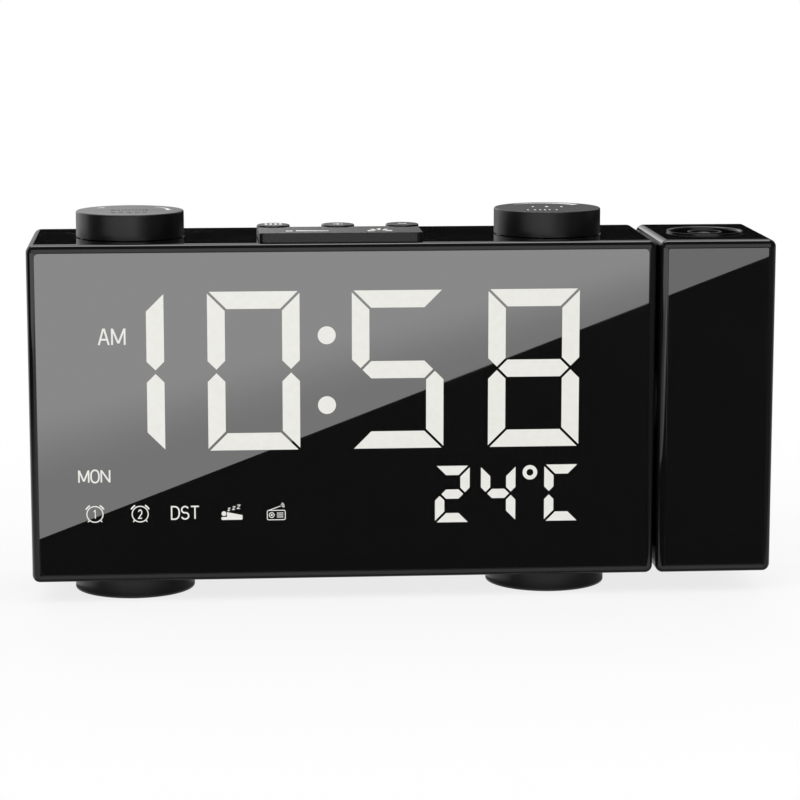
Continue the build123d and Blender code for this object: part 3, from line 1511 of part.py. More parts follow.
collar_top = ring_flange_bottom - seat_gap
collar_floor = ring_bottom - slide_gap
tube_bore = tube_radius - tube_wall
guide_bottom = barrel_bottom - focus_travel - slide_gap
guide_top = barrel_bottom + key_length + focus_travel + slide_gap
with BuildPart() as optics_tube:
    with BuildSketch(level(tube_bottom)):
        with Locations((head_mid, 0)):
            Circle(tube_radius)
    extrude(amount=collar_top - tube_bottom)
    with BuildSketch(level(collar_floor - collar_web)):
        with Locations((head_mid, 0)):
            Circle(tube_collar_radius)
    extrude(amount=collar_top - collar_floor + collar_web)
    with BuildSketch(upright(ear_back)):
        with Locations((head_mid, ear_level)):
            Rectangle(ear_pitch + 2 * small_head_radius, ear_height)
    extrude(amount=ear_thickness, dir=FORWARD)
    with BuildSketch(level(collar_floor)):
        with Locations((head_mid, 0)):
            Circle(focus_ring_radius + slide_gap)
    extrude(amount=collar_top - collar_floor, mode=Mode.SUBTRACT)
    # bore above and below the key guide, the guide itself, and the condenser's shelf
    for low, high, radius in (
        (guide_top, collar_floor, tube_bore),
        (condenser_level, guide_bottom, tube_bore),
        (tube_bottom, condenser_level - shelf, tube_bore),
        (tube_bottom, collar_floor, barrel_radius + run_gap),
    ):
        with BuildSketch(level(low)):
            with Locations((head_mid, 0)):
                Circle(radius)
        extrude(amount=high - low, mode=Mode.SUBTRACT)
    with BuildSketch(level(guide_bottom)):
        with Locations((head_mid, 0)):
            Rectangle(key_width + 2 * slide_gap, 2 * (barrel_radius + key_reach + slide_gap))
    extrude(amount=guide_top - guide_bottom, mode=Mode.SUBTRACT)
    # slot for the liquid-crystal slide, from behind
    with BuildSketch(level(lcd_level - slide_gap)):
        with Locations((head_mid, lcd_back - lcd_length / 2 + tube_radius)):
            Rectangle(lcd_size + 2 * slide_gap, lcd_length + 2 * slide_gap + 2 * tube_radius)
    extrude(amount=lcd_thickness + 2 * slide_gap, mode=Mode.SUBTRACT)
    with BuildSketch(upright(ear_back)):
        with Locations((head_mid, ear_level)):
            with GridLocations(ear_pitch, 0, 2, 1):
                Circle(small_screw_radius + hole_gap)
    extrude(amount=ear_thickness, dir=FORWARD, mode=Mode.SUBTRACT)
finish(optics_tube, "optics_tube")

with BuildPart() as lcd_slide:
    with BuildSketch(level(lcd_level)):
        with Locations((head_mid, lcd_back - lcd_length / 2)):
            Rectangle(lcd_size, lcd_length)
    extrude(amount=lcd_thickness)
finish(lcd_slide, "lcd_slide")

with BuildPart() as lamp_board:
    with BuildSketch(level(tube_bottom - seat_gap)):
        with Locations((head_mid, 0)):
            Rectangle(lamp_board_width, lamp_board_depth)
    extrude(amount=-board_thickness)
finish(lamp_board, "lamp_board")

with BuildPart() as lamp_led:
    with BuildSketch(level(tube_bottom - seat_gap)):
        with Locations((head_mid, 0)):
            Circle(lamp_radius)
    extrude(amount=lamp_height)
    fillet(lamp_led.edges().sort_by(Axis.Z)[-1], radius=lamp_dome)
finish(lamp_led, "lamp_led")

with BuildPart() as head_board:
    with BuildSketch(upright(head_board_y)):
        with Locations((head_mid, head_board_z)):
            Rectangle(head_board_width, head_board_height)
            with GridLocations(0, head_board_pitch, 1, 2):
                Circle(small_screw_radius + hole_gap, mode=Mode.SUBTRACT)
    extrude(amount=board_thickness, dir=REARWARD)
finish(head_board, "head_board")

# The lead runs along the pivot's own axis through the hollow axle, so that the head
# can turn about it, then down inside the head to the head's board.
lead_x = (flange_face + head_mid - tube_radius) / 2
lead_route = [
    (main_board_right + lead_tail, 0, mid_height),
    (lead_x, 0, mid_height),
    (lead_x, 0, head_board_z),
    (lead_x, head_board_back + seat_gap, head_board_z),
]
with BuildPart() as projector_lead:
    with BuildLine():
        FilletPolyline(*lead_route, radius=lead_bend)
    with BuildSketch(along(main_board_right + lead_tail)):
        with Locations((0, mid_height)):
            Circle(lead_radius)
    sweep()
finish(projector_lead, "projector_lead")
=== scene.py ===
import json
from math import radians

import bmesh
import bpy
import numpy as np
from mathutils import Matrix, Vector


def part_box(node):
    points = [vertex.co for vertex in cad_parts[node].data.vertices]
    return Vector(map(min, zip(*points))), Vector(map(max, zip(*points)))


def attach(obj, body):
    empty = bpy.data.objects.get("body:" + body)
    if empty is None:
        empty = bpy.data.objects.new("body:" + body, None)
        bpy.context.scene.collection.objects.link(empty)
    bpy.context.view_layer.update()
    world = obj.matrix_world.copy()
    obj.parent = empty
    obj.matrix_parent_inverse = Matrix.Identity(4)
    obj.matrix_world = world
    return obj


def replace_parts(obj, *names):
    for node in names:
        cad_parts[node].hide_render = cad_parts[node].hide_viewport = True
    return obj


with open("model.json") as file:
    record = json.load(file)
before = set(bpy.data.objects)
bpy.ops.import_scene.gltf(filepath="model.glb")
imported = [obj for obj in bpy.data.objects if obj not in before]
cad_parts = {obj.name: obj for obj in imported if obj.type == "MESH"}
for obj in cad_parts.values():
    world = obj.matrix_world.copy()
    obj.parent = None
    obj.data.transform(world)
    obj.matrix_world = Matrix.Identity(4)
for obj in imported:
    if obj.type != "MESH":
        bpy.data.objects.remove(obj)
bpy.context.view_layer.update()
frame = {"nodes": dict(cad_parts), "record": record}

nodes = frame["nodes"]
MM = 0.001

# ---------------------------------------------------------------- studio
# The clock stands on a pale floor and looks towards the camera, which is a little to
# the left of its middle and looks slightly down on it.
camera_data = bpy.data.cameras.new("camera")
camera_data.lens = 126.47
camera_data.sensor_width = 36.0
camera_data.clip_start = 0.05
camera_data.clip_end = 20.0
camera = bpy.data.objects.new("camera", camera_data)
camera.location = (-0.05282, -0.71216, 0.16562)
camera.rotation_euler = (radians(90 - 9.378), 0.0, radians(-4.2675))
bpy.context.scene.collection.objects.link(camera)
bpy.context.scene.camera = camera
bpy.context.scene.view_settings.view_transform = "Standard"


def seen_directly(tree):
    """1 for a ray from the camera, or one mirrored by metal or gone through glass."""
    path = tree.nodes.new("ShaderNodeLightPath")
    mirrored = tree.nodes.new("ShaderNodeMath")
    mirrored.operation = "MAXIMUM"
    total = tree.nodes.new("ShaderNodeMath")
    total.operation = "MAXIMUM"
    tree.links.new(path.outputs["Is Glossy Ray"], mirrored.inputs[0])
    tree.links.new(path.outputs["Is Transmission Ray"], mirrored.inputs[1])
    tree.links.new(path.outputs["Is Camera Ray"], total.inputs[0])
    tree.links.new(mirrored.outputs[0], total.inputs[1])
    return total.outputs[0]


world = bpy.data.worlds.new("studio")
world.use_nodes = True
bpy.context.scene.world = world
sky = world.node_tree
sky_out = sky.nodes["World Output"]
soft_sky = sky.nodes["Background"]
soft_sky.inputs["Color"].default_value = (1.0, 1.0, 1.0, 1.0)
soft_sky.inputs["Strength"].default_value = 0.6
white_sky = sky.nodes.new("ShaderNodeBackground")
white_sky.inputs["Color"].default_value = (1.0, 1.0, 1.0, 1.0)
white_sky.inputs["Strength"].default_value = 1.0
sky_mix = sky.nodes.new("ShaderNodeMixShader")
sky.links.new(seen_directly(sky), sky_mix.inputs[0])
sky.links.new(soft_sky.outputs[0], sky_mix.inputs[1])
sky.links.new(white_sky.outputs[0], sky_mix.inputs[2])
sky.links.new(sky_mix.outputs[0], sky_out.inputs["Surface"])


def quad(name, corners):
    """A flat sheet through its corner points, in order round its edge."""
    mesh = bpy.data.meshes.new(name)
    mesh.from_pydata(np.asarray(corners, float), [], [list(range(len(corners)))])
    sheet = bpy.data.objects.new(name, mesh)
    bpy.context.scene.collection.objects.link(sheet)
    return sheet


def rectangle(x0, y0, x1, y1):
    """The corners of a rectangle between two opposite ones, in order round its edge."""
    return [(x0, y0), (x1, y0), (x1, y1), (x0, y1)]


floor_reach = 3.0
shadow_inner, shadow_outer = 0.13, 0.34
floor = quad("floor", [(x, y, 0) for x, y in rectangle(-floor_reach, -floor_reach,
                                                       floor_reach, floor_reach)])
floor_paint = bpy.data.materials.new("floor_paint")
floor_paint.use_nodes = True
paint = floor_paint.node_tree
paint_body = paint.nodes["Principled BSDF"]
paint_body.inputs["Base Color"].default_value = (0.86, 0.86, 0.86, 1.0)
paint_body.inputs["Roughness"].default_value = 0.9
paint_body.inputs["Specular IOR Level"].default_value = 0.0
# Near the clock the floor keeps its shadow; further out it turns into plain white paper.
paint_place = paint.nodes.new("ShaderNodeTexCoord")
paint_reach = paint.nodes.new("ShaderNodeVectorMath")
paint_reach.operation = "LENGTH"
paint_fade = paint.nodes.new("ShaderNodeMapRange")
paint_fade.interpolation_type = "SMOOTHSTEP"
for socket, value in (("From Min", shadow_inner), ("From Max", shadow_outer),
                      ("To Min", 0.8), ("To Max", 1.0)):
    paint_fade.inputs[socket].default_value = value
paint.links.new(paint_place.outputs["Object"], paint_reach.inputs[0])
paint.links.new(paint_reach.outputs["Value"], paint_fade.inputs["Value"])
paint_share = paint.nodes.new("ShaderNodeMath")
paint_share.operation = "MULTIPLY"
paint.links.new(paint_fade.outputs[0], paint_share.inputs[0])
paint.links.new(seen_directly(paint), paint_share.inputs[1])
paint_white = paint.nodes.new("ShaderNodeEmission")
paint_white.inputs["Strength"].default_value = 1.0
paint_mix = paint.nodes.new("ShaderNodeMixShader")
paint.links.new(paint_share.outputs[0], paint_mix.inputs[0])
paint.links.new(paint_body.outputs[0], paint_mix.inputs[1])
paint.links.new(paint_white.outputs[0], paint_mix.inputs[2])
paint.links.new(paint_mix.outputs[0], paint.nodes["Material Output"].inputs["Surface"])
floor.data.materials.append(floor_paint)


def lamp(name, place, target, size, power):
    """A soft square lamp at place that shines at target; its gloss is left to the cards."""
    data = bpy.data.lights.new(name, "AREA")
    data.shape = "SQUARE"
    data.size = size
    data.energy = power
    obj = bpy.data.objects.new(name, data)
    aim = np.asarray(target, float) - np.asarray(place, float)
    obj.location = place
    obj.rotation_euler = Vector(aim).to_track_quat("-Z", "Y").to_euler()
    obj.visible_glossy = False
    obj.visible_camera = False
    bpy.context.scene.collection.objects.link(obj)


lamp("key_lamp", (-0.7, -0.9, 1.2), (0, 0, 0.05), 0.9, 9.0)
lamp("fill_lamp", (0.9, -0.6, 1.0), (0, 0, 0.05), 1.0, 5.0)
lamp("back_lamp", (0.1, 1.0, 1.1), (0, 0, 0.05), 1.0, 6.0)


def card(name, corners, strength, fade=None):
    """A sheet that shows only as a reflection: black where strength is 0, else glowing.

    fade is (direction, from, to, strength at to): the distance along the direction is
    eased between from and to, and the glow runs from strength to the last value with it.
    """
    sheet = quad(name, corners)
    glow = bpy.data.materials.new(name)
    glow.use_nodes = True
    tree = glow.node_tree
    tree.nodes.remove(tree.nodes["Principled BSDF"])
    emit = tree.nodes.new("ShaderNodeEmission")
    emit.inputs["Strength"].default_value = strength
    tree.links.new(emit.outputs[0], tree.nodes["Material Output"].inputs["Surface"])
    if fade:
        direction, start, end, last = fade
        place = tree.nodes.new("ShaderNodeTexCoord")
        along = tree.nodes.new("ShaderNodeVectorMath")
        along.operation = "DOT_PRODUCT"
        along.inputs[1].default_value = direction
        ramp = tree.nodes.new("ShaderNodeMapRange")
        ramp.interpolation_type = "SMOOTHSTEP"
        tree.links.new(place.outputs["Object"], along.inputs[0])
        tree.links.new(along.outputs["Value"], ramp.inputs["Value"])
        for socket, value in (("From Min", start), ("From Max", end),
                              ("To Min", strength), ("To Max", last)):
            ramp.inputs[socket].default_value = value
        tree.links.new(ramp.outputs[0], emit.inputs["Strength"])
    sheet.data.materials.append(glow)
    for ray in ("camera", "diffuse", "transmission", "volume_scatter", "shadow"):
        setattr(sheet, f"visible_{ray}", False)


# Cards for the gloss. On the floor before the clock a dim sheet keeps the windows dark,
# and a bright one, cut along a straight edge, shows across both windows as a slant.
window_low, window_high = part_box("display_window")
head_low, head_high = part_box("head_window")
face_y = window_low.y
eye = np.array(camera.location)
card_height = 0.001


def mirrored(x, z):
    """Where the camera's ray, mirrored by the windows' plane at (x, z), meets the floor."""
    hit = np.array([x, face_y, z])
    ray = (hit - eye) * (1, -1, 1)
    return (hit + ray * (hit[2] - card_height) / -ray[2])[:2]


def crossing(start, run, line, line_run):
    """Where the line through start along run meets the one through line along line_run."""
    share = np.linalg.solve(np.stack([run, -line_run], axis=1), line - start)
    return start + share[0] * run


def level_card(name, corners, lift, strength, fade=None):
    """A card that lies on the floor, lift card heights above it."""
    card(name, [(x, y, card_height * lift) for x, y in corners], strength, fade)


# The slant's edge runs between two points seen on the windows. Lines seen just outside
# the windows' sides and between them bound the floor cards, as far back as the far line.
edge_near, edge_far = mirrored(-0.0920, 0.0168), mirrored(0.0916, 0.0865)
edge_run = edge_far - edge_near
seen_low, seen_high, hair = 0.004, 0.089, 0.0001
side_x, right_x = window_low.x - hair, head_high.x + hair
side_near, side_far = mirrored(side_x, seen_low), mirrored(side_x, seen_high)
gap_x = (window_high.x + head_low.x) / 2
gap_near, gap_far = mirrored(gap_x, seen_low), mirrored(gap_x, seen_high)
right_near, right_far = mirrored(right_x, seen_low), mirrored(right_x, seen_high)
far_y = -0.83
far_line, across = np.array((0.0, far_y)), np.array((1.0, 0.0))
lead_in = 0.02
edge_start = edge_near - edge_run * lead_in
edge_end = crossing(edge_near, edge_run, far_line, across)
edge_gap = crossing(edge_near, edge_run, gap_near, gap_far - gap_near)
gap_end = crossing(gap_near, gap_far - gap_near, far_line, across)
side_end = crossing(side_near, side_far - side_near, far_line, across)
right_end = crossing(right_near, right_far - right_near, far_line, across)
near_y = mirrored(0.0, window_low.z)[1]
before_face = face_y - 0.002
front_y, back_y, wall_x, room_top = -2.4, 1.6, 1.6, 2.6
left_x, floor_back = -1.2, 1.39
level_card("dim_floor_card", rectangle(-1.5, front_y, 1.5, near_y), 0.5, 0.015)
level_card("near_floor_card", rectangle(-0.3, near_y, 0.3, before_face), 0.6, 0.72)
# Under the body a dim card shows in the reflections in place of the clock's own shade there: a
# painted shade.
level_card("under_shade_card", rectangle(-0.1, before_face, 0.1, 0.03), 0.6, 0.18)
# Beside each foot, patches as far off as its side mirrors: pale on the left, dim on the right.
patch_back = 0.034
for side in ("left", "right"):
    foot_low, foot_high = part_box(f"{side}_foot")
    foot_x, foot_edge = (foot_low.x + foot_high.x) / 2, (foot_high.x - foot_low.x) / 2
    for part, x0, x1, y0, strength in (("left", -0.042, -foot_edge, -0.013, 0.85),
                                       ("right", foot_edge, 0.03, -0.003, 0.42)):
        level_card(f"{side}_foot_{part}_card",
                   rectangle(foot_x + x0, y0, foot_x + x1, patch_back), 1.2, strength)
level_card("slant_card", [edge_start, edge_gap, gap_end, side_end], 1.0,
           1.2, fade=((0.848, 0.53, 0.0), -0.169, -0.2595, 1.74))
level_card("head_slant_card", [edge_gap, edge_end, gap_end], 1.0, 0.98)
level_card("left_floor_card", [side_near, side_end, (left_x, far_y), (left_x, -0.72),
                               (-0.52, -0.3), (-0.36, -0.36)], 0.8,
           0.72, fade=((-0.77, -0.64, 0.0), 0.42, 0.56, 1.6))
level_card("right_floor_card", [right_near, right_end, (wall_x, far_y), (wall_x, -0.05),
                                (0.1, -0.05)], 0.8, 0.13)
level_card("dark_left_card", [side_near, (-0.36, -0.36), (left_x, far_y), (left_x, 0.28)], 0.7,
           0.6, fade=((-1.0, 0.0, 0.0), 0.12, 0.42, 0.02))
level_card("pale_left_card", [(-0.1, -0.018), (left_x, 0.28), (left_x, floor_back),
                              (-0.5, floor_back), (-0.5, 0.52), (-0.1, 0.2)], 0.7, 1.1)
level_card("dark_back_card", [(-0.1, 0.03), (0.1, 0.03), (0.1, -0.05), (wall_x, -0.05),
                              (wall_x, floor_back), (-0.1, floor_back)], 0.7,
           0.42, fade=((0.0, 1.0, 0.0), 0.3, 0.56, 0.02))
level_card("left_back_card", rectangle(-0.5, 0.52, -0.1, floor_back), 1.0, 0.35)
# Upright sheets: a front wall that pales the front edges, a dark lid with a bright box
# over the clock, a low dark bar behind it for the black top, and brighter air above it.
card("front_wall", [(-1.4, front_y, 0.12), (0.62, front_y, 0.12), (0.62, -1.7, 1.5),
                    (-1.4, -1.7, 1.5)], 1.1)
card("lid", [(x, y, room_top) for x, y in rectangle(-2.5, front_y, 2.5, back_y)], 0.05)
card("soft_box", [(x, y, 2.5) for x, y in rectangle(-1.3, 0.35, 0.9, 1.4)], 4.5)
card("right_wall", [(wall_x, y, z) for y, z in rectangle(front_y, 0, back_y, room_top)], 0.05)
card("left_wall", [(-wall_x, y, z) for y, z in rectangle(-1.9, 0, 0.2, room_top)], 0.1)
bar_y, bar_left, bar_top = 1.4, -0.19, 0.27
card("back_bar", [(x, bar_y, z) for x, z in rectangle(bar_left, 0, 1.5, bar_top)], 0.006)
card("left_back_bar", [(x, bar_y, z) for x, z in rectangle(-0.5, 0, bar_left, bar_top)], 0.35)
card("back_wall", [(x, back_y, z) for x, z in rectangle(-wall_x, 0, wall_x, 0.9)],
     1.45, fade=((1.0, 0.0, 0.0), -0.2, 0.25, 0.35))


# ---------------------------------------------------------------- moulded shells
# The body's sleeve and back cover and the head's case and cover are injection-moulded
# in black, polished where they show. Screws from the back hold each pair together.
def clouded(tree, colour, scale, detail, dark, light):
    """Tints the colour socket between dark and light by a soft noise over the piece.

    Returns the sockets that give the place on the piece and the strength of the noise.
    """
    place = tree.nodes.new("ShaderNodeTexCoord")
    cloud = tree.nodes.new("ShaderNodeTexNoise")
    cloud.inputs["Scale"].default_value = scale
    cloud.inputs["Detail"].default_value = detail
    tint = tree.nodes.new("ShaderNodeMix")
    tint.data_type = "RGBA"
    tint.inputs["A"].default_value = (*dark, 1.0)
    tint.inputs["B"].default_value = (*light, 1.0)
    tree.links.new(place.outputs["Object"], cloud.inputs["Vector"])
    tree.links.new(cloud.outputs["Fac"], tint.inputs["Factor"])
    tree.links.new(tint.outputs["Result"], colour)
    return place.outputs["Object"], cloud.outputs["Fac"]


def plastic(name, colour, roughness, spread, grain, grain_size):
    """Moulded plastic: roughness wanders by spread, and a fine grain dents the surface.

    grain is the depth of the dents in metres, grain_size their spacing in metres.
    """
    made = bpy.data.materials.new(name)
    made.use_nodes = True
    tree = made.node_tree
    shader = tree.nodes["Principled BSDF"]
    shader.inputs["IOR"].default_value = 1.5
    place, clouds = clouded(tree, shader.inputs["Base Color"], 55.0, 5.0,
                            [c * 0.85 for c in colour], [c * 1.15 for c in colour])
    ramp = tree.nodes.new("ShaderNodeMapRange")
    for socket, value in (("From Min", 0.3), ("From Max", 0.7),
                          ("To Min", roughness - spread), ("To Max", roughness + spread)):
        ramp.inputs[socket].default_value = value
    tree.links.new(clouds, ramp.inputs["Value"])
    tree.links.new(ramp.outputs[0], shader.inputs["Roughness"])
    dots = tree.nodes.new("ShaderNodeTexNoise")
    dots.inputs["Scale"].default_value = 1.0 / grain_size
    dots.inputs["Detail"].default_value = 2.0
    tree.links.new(place, dots.inputs["Vector"])
    dents = tree.nodes.new("ShaderNodeBump")
    dents.inputs["Distance"].default_value = grain
    dents.inputs["Strength"].default_value = 1.0
    tree.links.new(dots.outputs["Fac"], dents.inputs["Height"])
    tree.links.new(dents.outputs[0], shader.inputs["Normal"])
    return made


gloss_black = plastic("gloss_black", (0.004, 0.004, 0.0045), 0.03, 0.01, 1e-7, 0.0016)


def dress(node, material):
    """Gives the whole of a CAD node one material."""
    mesh = nodes[node].data
    mesh.materials.clear()
    mesh.materials.append(material)


def middle_of(low, high):
    """The middle of a box, seen from above."""
    return np.array(((low.x + high.x) / 2, (low.y + high.y) / 2))


def read_values(items, name, count, width=1):
    """One attribute of all items of a mesh as an array of count rows."""
    values = np.empty(count * width, int if name in ("vertex_index", "loop_total") else float)
    items.foreach_get(name, values)
    return values.reshape(count, width) if width > 1 else values


def weighted_normals(piece):
    """Lets the larger faces rule the shading, so that fillets blend into them evenly."""
    weigh = piece.modifiers.new("weighted_normals", "WEIGHTED_NORMAL")
    weigh.keep_sharp = True
    weigh.weight = 100


def level_normals(piece, flat_area=3e-6, exact=0.9999, close=0.9):
    """Fixes the weighted normals and gives level and upright faces exactly their own.

    A face above flat_area square metres that looks along an axis is flat (the cosine is
    above exact). Slivers and facets of fillets that are no further off than the cosine
    close, 26 degrees, follow it where they touch it.
    """
    weighted_normals(piece)
    shaded = piece.evaluated_get(bpy.context.evaluated_depsgraph_get()).data
    normals = read_values(shaded.corner_normals, "vector", len(shaded.loops), 3)
    piece.modifiers.clear()
    mesh = piece.data
    count = len(mesh.polygons)
    areas = read_values(mesh.polygons, "area", count)
    sides = read_values(mesh.polygons, "loop_total", count)
    face_normals = read_values(mesh.polygons, "normal", count, 3)
    corner_face = np.repeat(np.arange(count), sides)
    corner_vertex = read_values(mesh.loops, "vertex_index", len(mesh.loops))
    for direction in np.concatenate([np.eye(3), -np.eye(3)]):
        along = face_normals @ direction
        flat = (along > exact) & (areas > flat_area)
        touched = np.zeros(len(mesh.vertices), bool)
        touched[corner_vertex[flat[corner_face]]] = True
        normals[(along > close)[corner_face] & touched[corner_vertex]] = direction
    mesh.normals_split_custom_set(normals.tolist())
    split = piece.modifiers.new("even_triangles", "TRIANGULATE")
    split.min_vertices = 5
    split.ngon_method = "BEAUTY"
    split.keep_custom_normals = True


def smooth_copy(node, body, material, crease=33):
    """A welded copy of a CAD node, shaded smooth over its fillets and flat on its faces.

    Edges sharper than crease degrees stay sharp.
    """
    mesh = nodes[node].data.copy()
    mesh.name = f"{node}_shell"
    work = bmesh.new()
    work.from_mesh(mesh)
    bmesh.ops.remove_doubles(work, verts=work.verts, dist=2e-6)
    bmesh.ops.dissolve_limit(work, angle_limit=radians(0.05), verts=work.verts, edges=work.edges)
    work.to_mesh(mesh)
    work.free()
    mesh.shade_smooth()
    mesh.set_sharp_from_angle(angle=radians(crease))
    mesh.materials.clear()
    mesh.materials.append(material)
    piece = bpy.data.objects.new(f"{node}_shell", mesh)
    bpy.context.scene.collection.objects.link(piece)
    level_normals(piece)
    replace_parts(piece, node)
    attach(piece, body)


for shell, body in (("main_casing", "clock"), ("rear_cover", "clock"), ("cell_door", "cell_door"),
                    ("head_casing", "head"), ("head_cover", "head")):
    smooth_copy(shell, body, gloss_black)


# ---------------------------------------------------------------- windows
# Both windows are smoked acrylic with a half-mirror back, let in flush with the edge
# of the shells and glued to a ledge. Their rims are very slightly broken.
def rounded_outline(width, height, radius, steps=12):
    """Points and outward normals round a rectangle whose corners are quarter circles.

    Corner k sits at a turn of k quarter circles, each quarter sampled in equal angles.
    """
    turn = np.linspace(0, np.pi / 2, steps)[None, :] + np.arange(4)[:, None] * np.pi / 2
    normals = np.stack([np.cos(turn), np.sin(turn)], axis=-1)
    signs = np.array([(1, 1), (-1, 1), (-1, -1), (1, -1)])[:, None, :]
    centres = signs * (np.array([width, height]) / 2 - radius)
    points = centres + radius * normals
    return points.reshape(-1, 2), normals.reshape(-1, 2)


def grid_faces(rows, columns, closed_rows=False, closed_columns=True):
    """Quads over a grid of rows x columns points, wrapped where a direction is closed."""
    r = np.arange(rows if closed_rows else rows - 1)[:, None]
    c = np.arange(columns if closed_columns else columns - 1)[None, :]
    up, on = (r + 1) % rows, (c + 1) % columns
    quads = np.stack(np.broadcast_arrays(r * columns + c, r * columns + on,
                                         up * columns + on, up * columns + c), axis=-1)
    return quads.reshape(-1, 4)


def build(name, points, faces, material, body, smooth=True, crease=40):
    """One welded mesh piece that faces outwards, rides on body and has one material."""
    mesh = bpy.data.meshes.new(name)
    mesh.from_pydata(np.asarray(points, float).reshape(-1, 3), [], faces)
    work = bmesh.new()
    work.from_mesh(mesh)
    bmesh.ops.remove_doubles(work, verts=work.verts, dist=1e-7)
    bmesh.ops.recalc_face_normals(work, faces=work.faces)
    work.to_mesh(mesh)
    work.free()
    mesh.materials.append(material)
    piece = bpy.data.objects.new(name, mesh)
    bpy.context.scene.collection.objects.link(piece)
    if smooth:
        mesh.shade_smooth()
        mesh.set_sharp_from_angle(angle=radians(crease))
        weighted_normals(piece)
    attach(piece, body)
    return piece


def slab(name, low, high, corner, bevel, material, body):
    """An upright plate: its outline carried back through a broken front edge to its back.

    Ring k is the outline drawn in by inset[k] at depth[k]; both ends close with a face.
    """
    outline, normals = rounded_outline(high.x - low.x, high.z - low.z, corner)
    arc = np.linspace(0, np.pi / 2, 5)
    inset = np.append(bevel * (1 - np.sin(arc)), 0.0)
    depth = np.append(low.y + bevel * (1 - np.cos(arc)), high.y)
    centre = np.array([(low.x + high.x) / 2, (low.z + high.z) / 2])
    flat = centre + outline[None] - inset[:, None, None] * normals[None]
    points = np.stack([flat[..., 0], np.broadcast_to(depth[:, None], flat.shape[:2]),
                       flat[..., 1]], -1)
    rows, count = flat.shape[:2]
    faces = grid_faces(rows, count).tolist()
    faces.append(list(range(count)))
    faces.append(list(range((rows - 1) * count, rows * count)))
    return build(name, points, faces, material, body)


smoked_acrylic = plastic("smoked_acrylic", (0.004, 0.004, 0.004), 0.012, 0.006, 2e-8, 0.004)
smoked_acrylic.node_tree.nodes["Principled BSDF"].inputs["IOR"].default_value = 2.2
display_corner, head_corner, window_bevel = 1.12 * MM, 0.3 * MM, 0.05 * MM
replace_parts(slab("display_window_pane", window_low, window_high, display_corner, window_bevel,
                 smoked_acrylic, "clock"), "display_window")
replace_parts(slab("head_window_pane", head_low, head_high, head_corner, window_bevel,
                 smoked_acrylic, "head"), "head_window")


# ---------------------------------------------------------------- lit figures
# Warm white lamps behind the window light the bars of the figures, the colon and the
# small words and signs. Each lit field is a flat glowing plate in the window's face.
lit_white = bpy.data.materials.new("lit_white")
lit_white.use_nodes = True
lit = lit_white.node_tree
lit_body = lit.nodes["Principled BSDF"]
lit_body.inputs["Base Color"].default_value = (0.02, 0.02, 0.02, 1.0)
lit_body.inputs["Roughness"].default_value = 0.3
lit_body.inputs["Emission Strength"].default_value = 1.0
clouded(lit, lit_body.inputs["Emission Color"], 700.0, 2.0, (0.74, 0.735, 0.69),
        (0.82, 0.815, 0.77))
lit_face, lit_base = face_y - 0.03 * MM, face_y + 0.3 * MM


def figure_bars(width, height, stroke, split, bars):
    """Corner points of the named bars of one seven-bar figure about its middle.

    a, g and d are the top, middle and bottom bars, b and c the right ones, f and e the
    left ones. Bars are mitred outside, pointed inside, and stand split apart.
    """
    x, z, tip = width / 2, height / 2, stroke / 2
    top = np.array([(-x + split, z), (x - split, z), (x - stroke - split, z - stroke),
                    (-x + stroke + split, z - stroke)])
    middle = np.array([(-x + tip + split, 0), (-x + stroke + split, tip),
                       (x - stroke - split, tip), (x - tip - split, 0),
                       (x - stroke - split, -tip), (-x + stroke + split, -tip)])
    left = np.array([(-x, z - split), (-x + stroke, z - stroke - split),
                     (-x + stroke, tip + split), (-x + tip, split), (-x, tip + split)])
    shapes = {"a": top, "d": top * (1, -1), "g": middle, "f": left, "e": left * (1, -1),
              "b": left * (-1, 1), "c": left * (-1, -1)}
    return [shapes[bar] for bar in bars]


def upright_place(points, depth):
    """(x, z) pairs to points at that depth."""
    points = np.asarray(points, float)
    return np.stack([points[:, 0], np.full(len(points), depth), points[:, 1]], axis=-1)


def level_place(points, height):
    """(x, y) pairs to points at that height."""
    points = np.asarray(points, float)
    return np.stack([points[:, 0], points[:, 1], np.full(len(points), height)], axis=-1)


def plates(outlines, place, face, base):
    """Prisms over closed outlines, from base to face: vertices and faces of them all."""
    points, faces, start = [], [], 0
    for outline in outlines:
        count = len(outline)
        points += [place(outline, base), place(outline, face)]
        faces += (grid_faces(2, count) + start).tolist()
        faces += [list(range(start, start + count)), list(range(start + count, start + 2 * count))]
        start += 2 * count
    return np.concatenate(points), faces


def ribbon(path, width, place, face, base, closed=False, start=0, least=0.35):
    """A strip of that width along a path: its edges lie half a width to each side.

    The offset at a corner is the sum of its two edge normals over 1 + their product,
    which is taken as no smaller than least, so that a sharp corner stays short.
    """
    path = np.asarray(path, float)
    step = np.roll(path, -1, axis=0) - path
    normal = np.stack([-step[:, 1], step[:, 0]], axis=-1)
    normal /= np.maximum(np.linalg.norm(normal, axis=1, keepdims=True), 1e-12)
    before = np.roll(normal, 1, axis=0)
    if not closed:
        before[0], normal[-1] = normal[0], before[-1]
    product = np.sum(before * normal, axis=1, keepdims=True)
    spread = (before + normal) / (1 + product).clip(least)
    left, right = path + spread * width / 2, path - spread * width / 2
    rings = np.stack([place(left, base), place(left, face), place(right, face),
                      place(right, base)], 1)
    count = len(path)
    faces = (grid_faces(count, 4, closed_rows=closed) + start).tolist()
    if not closed:
        last = start + 4 * (count - 1)
        faces += [list(range(start, start + 4)), list(range(last, last + 4))]
    return rings.reshape(-1, 3), faces


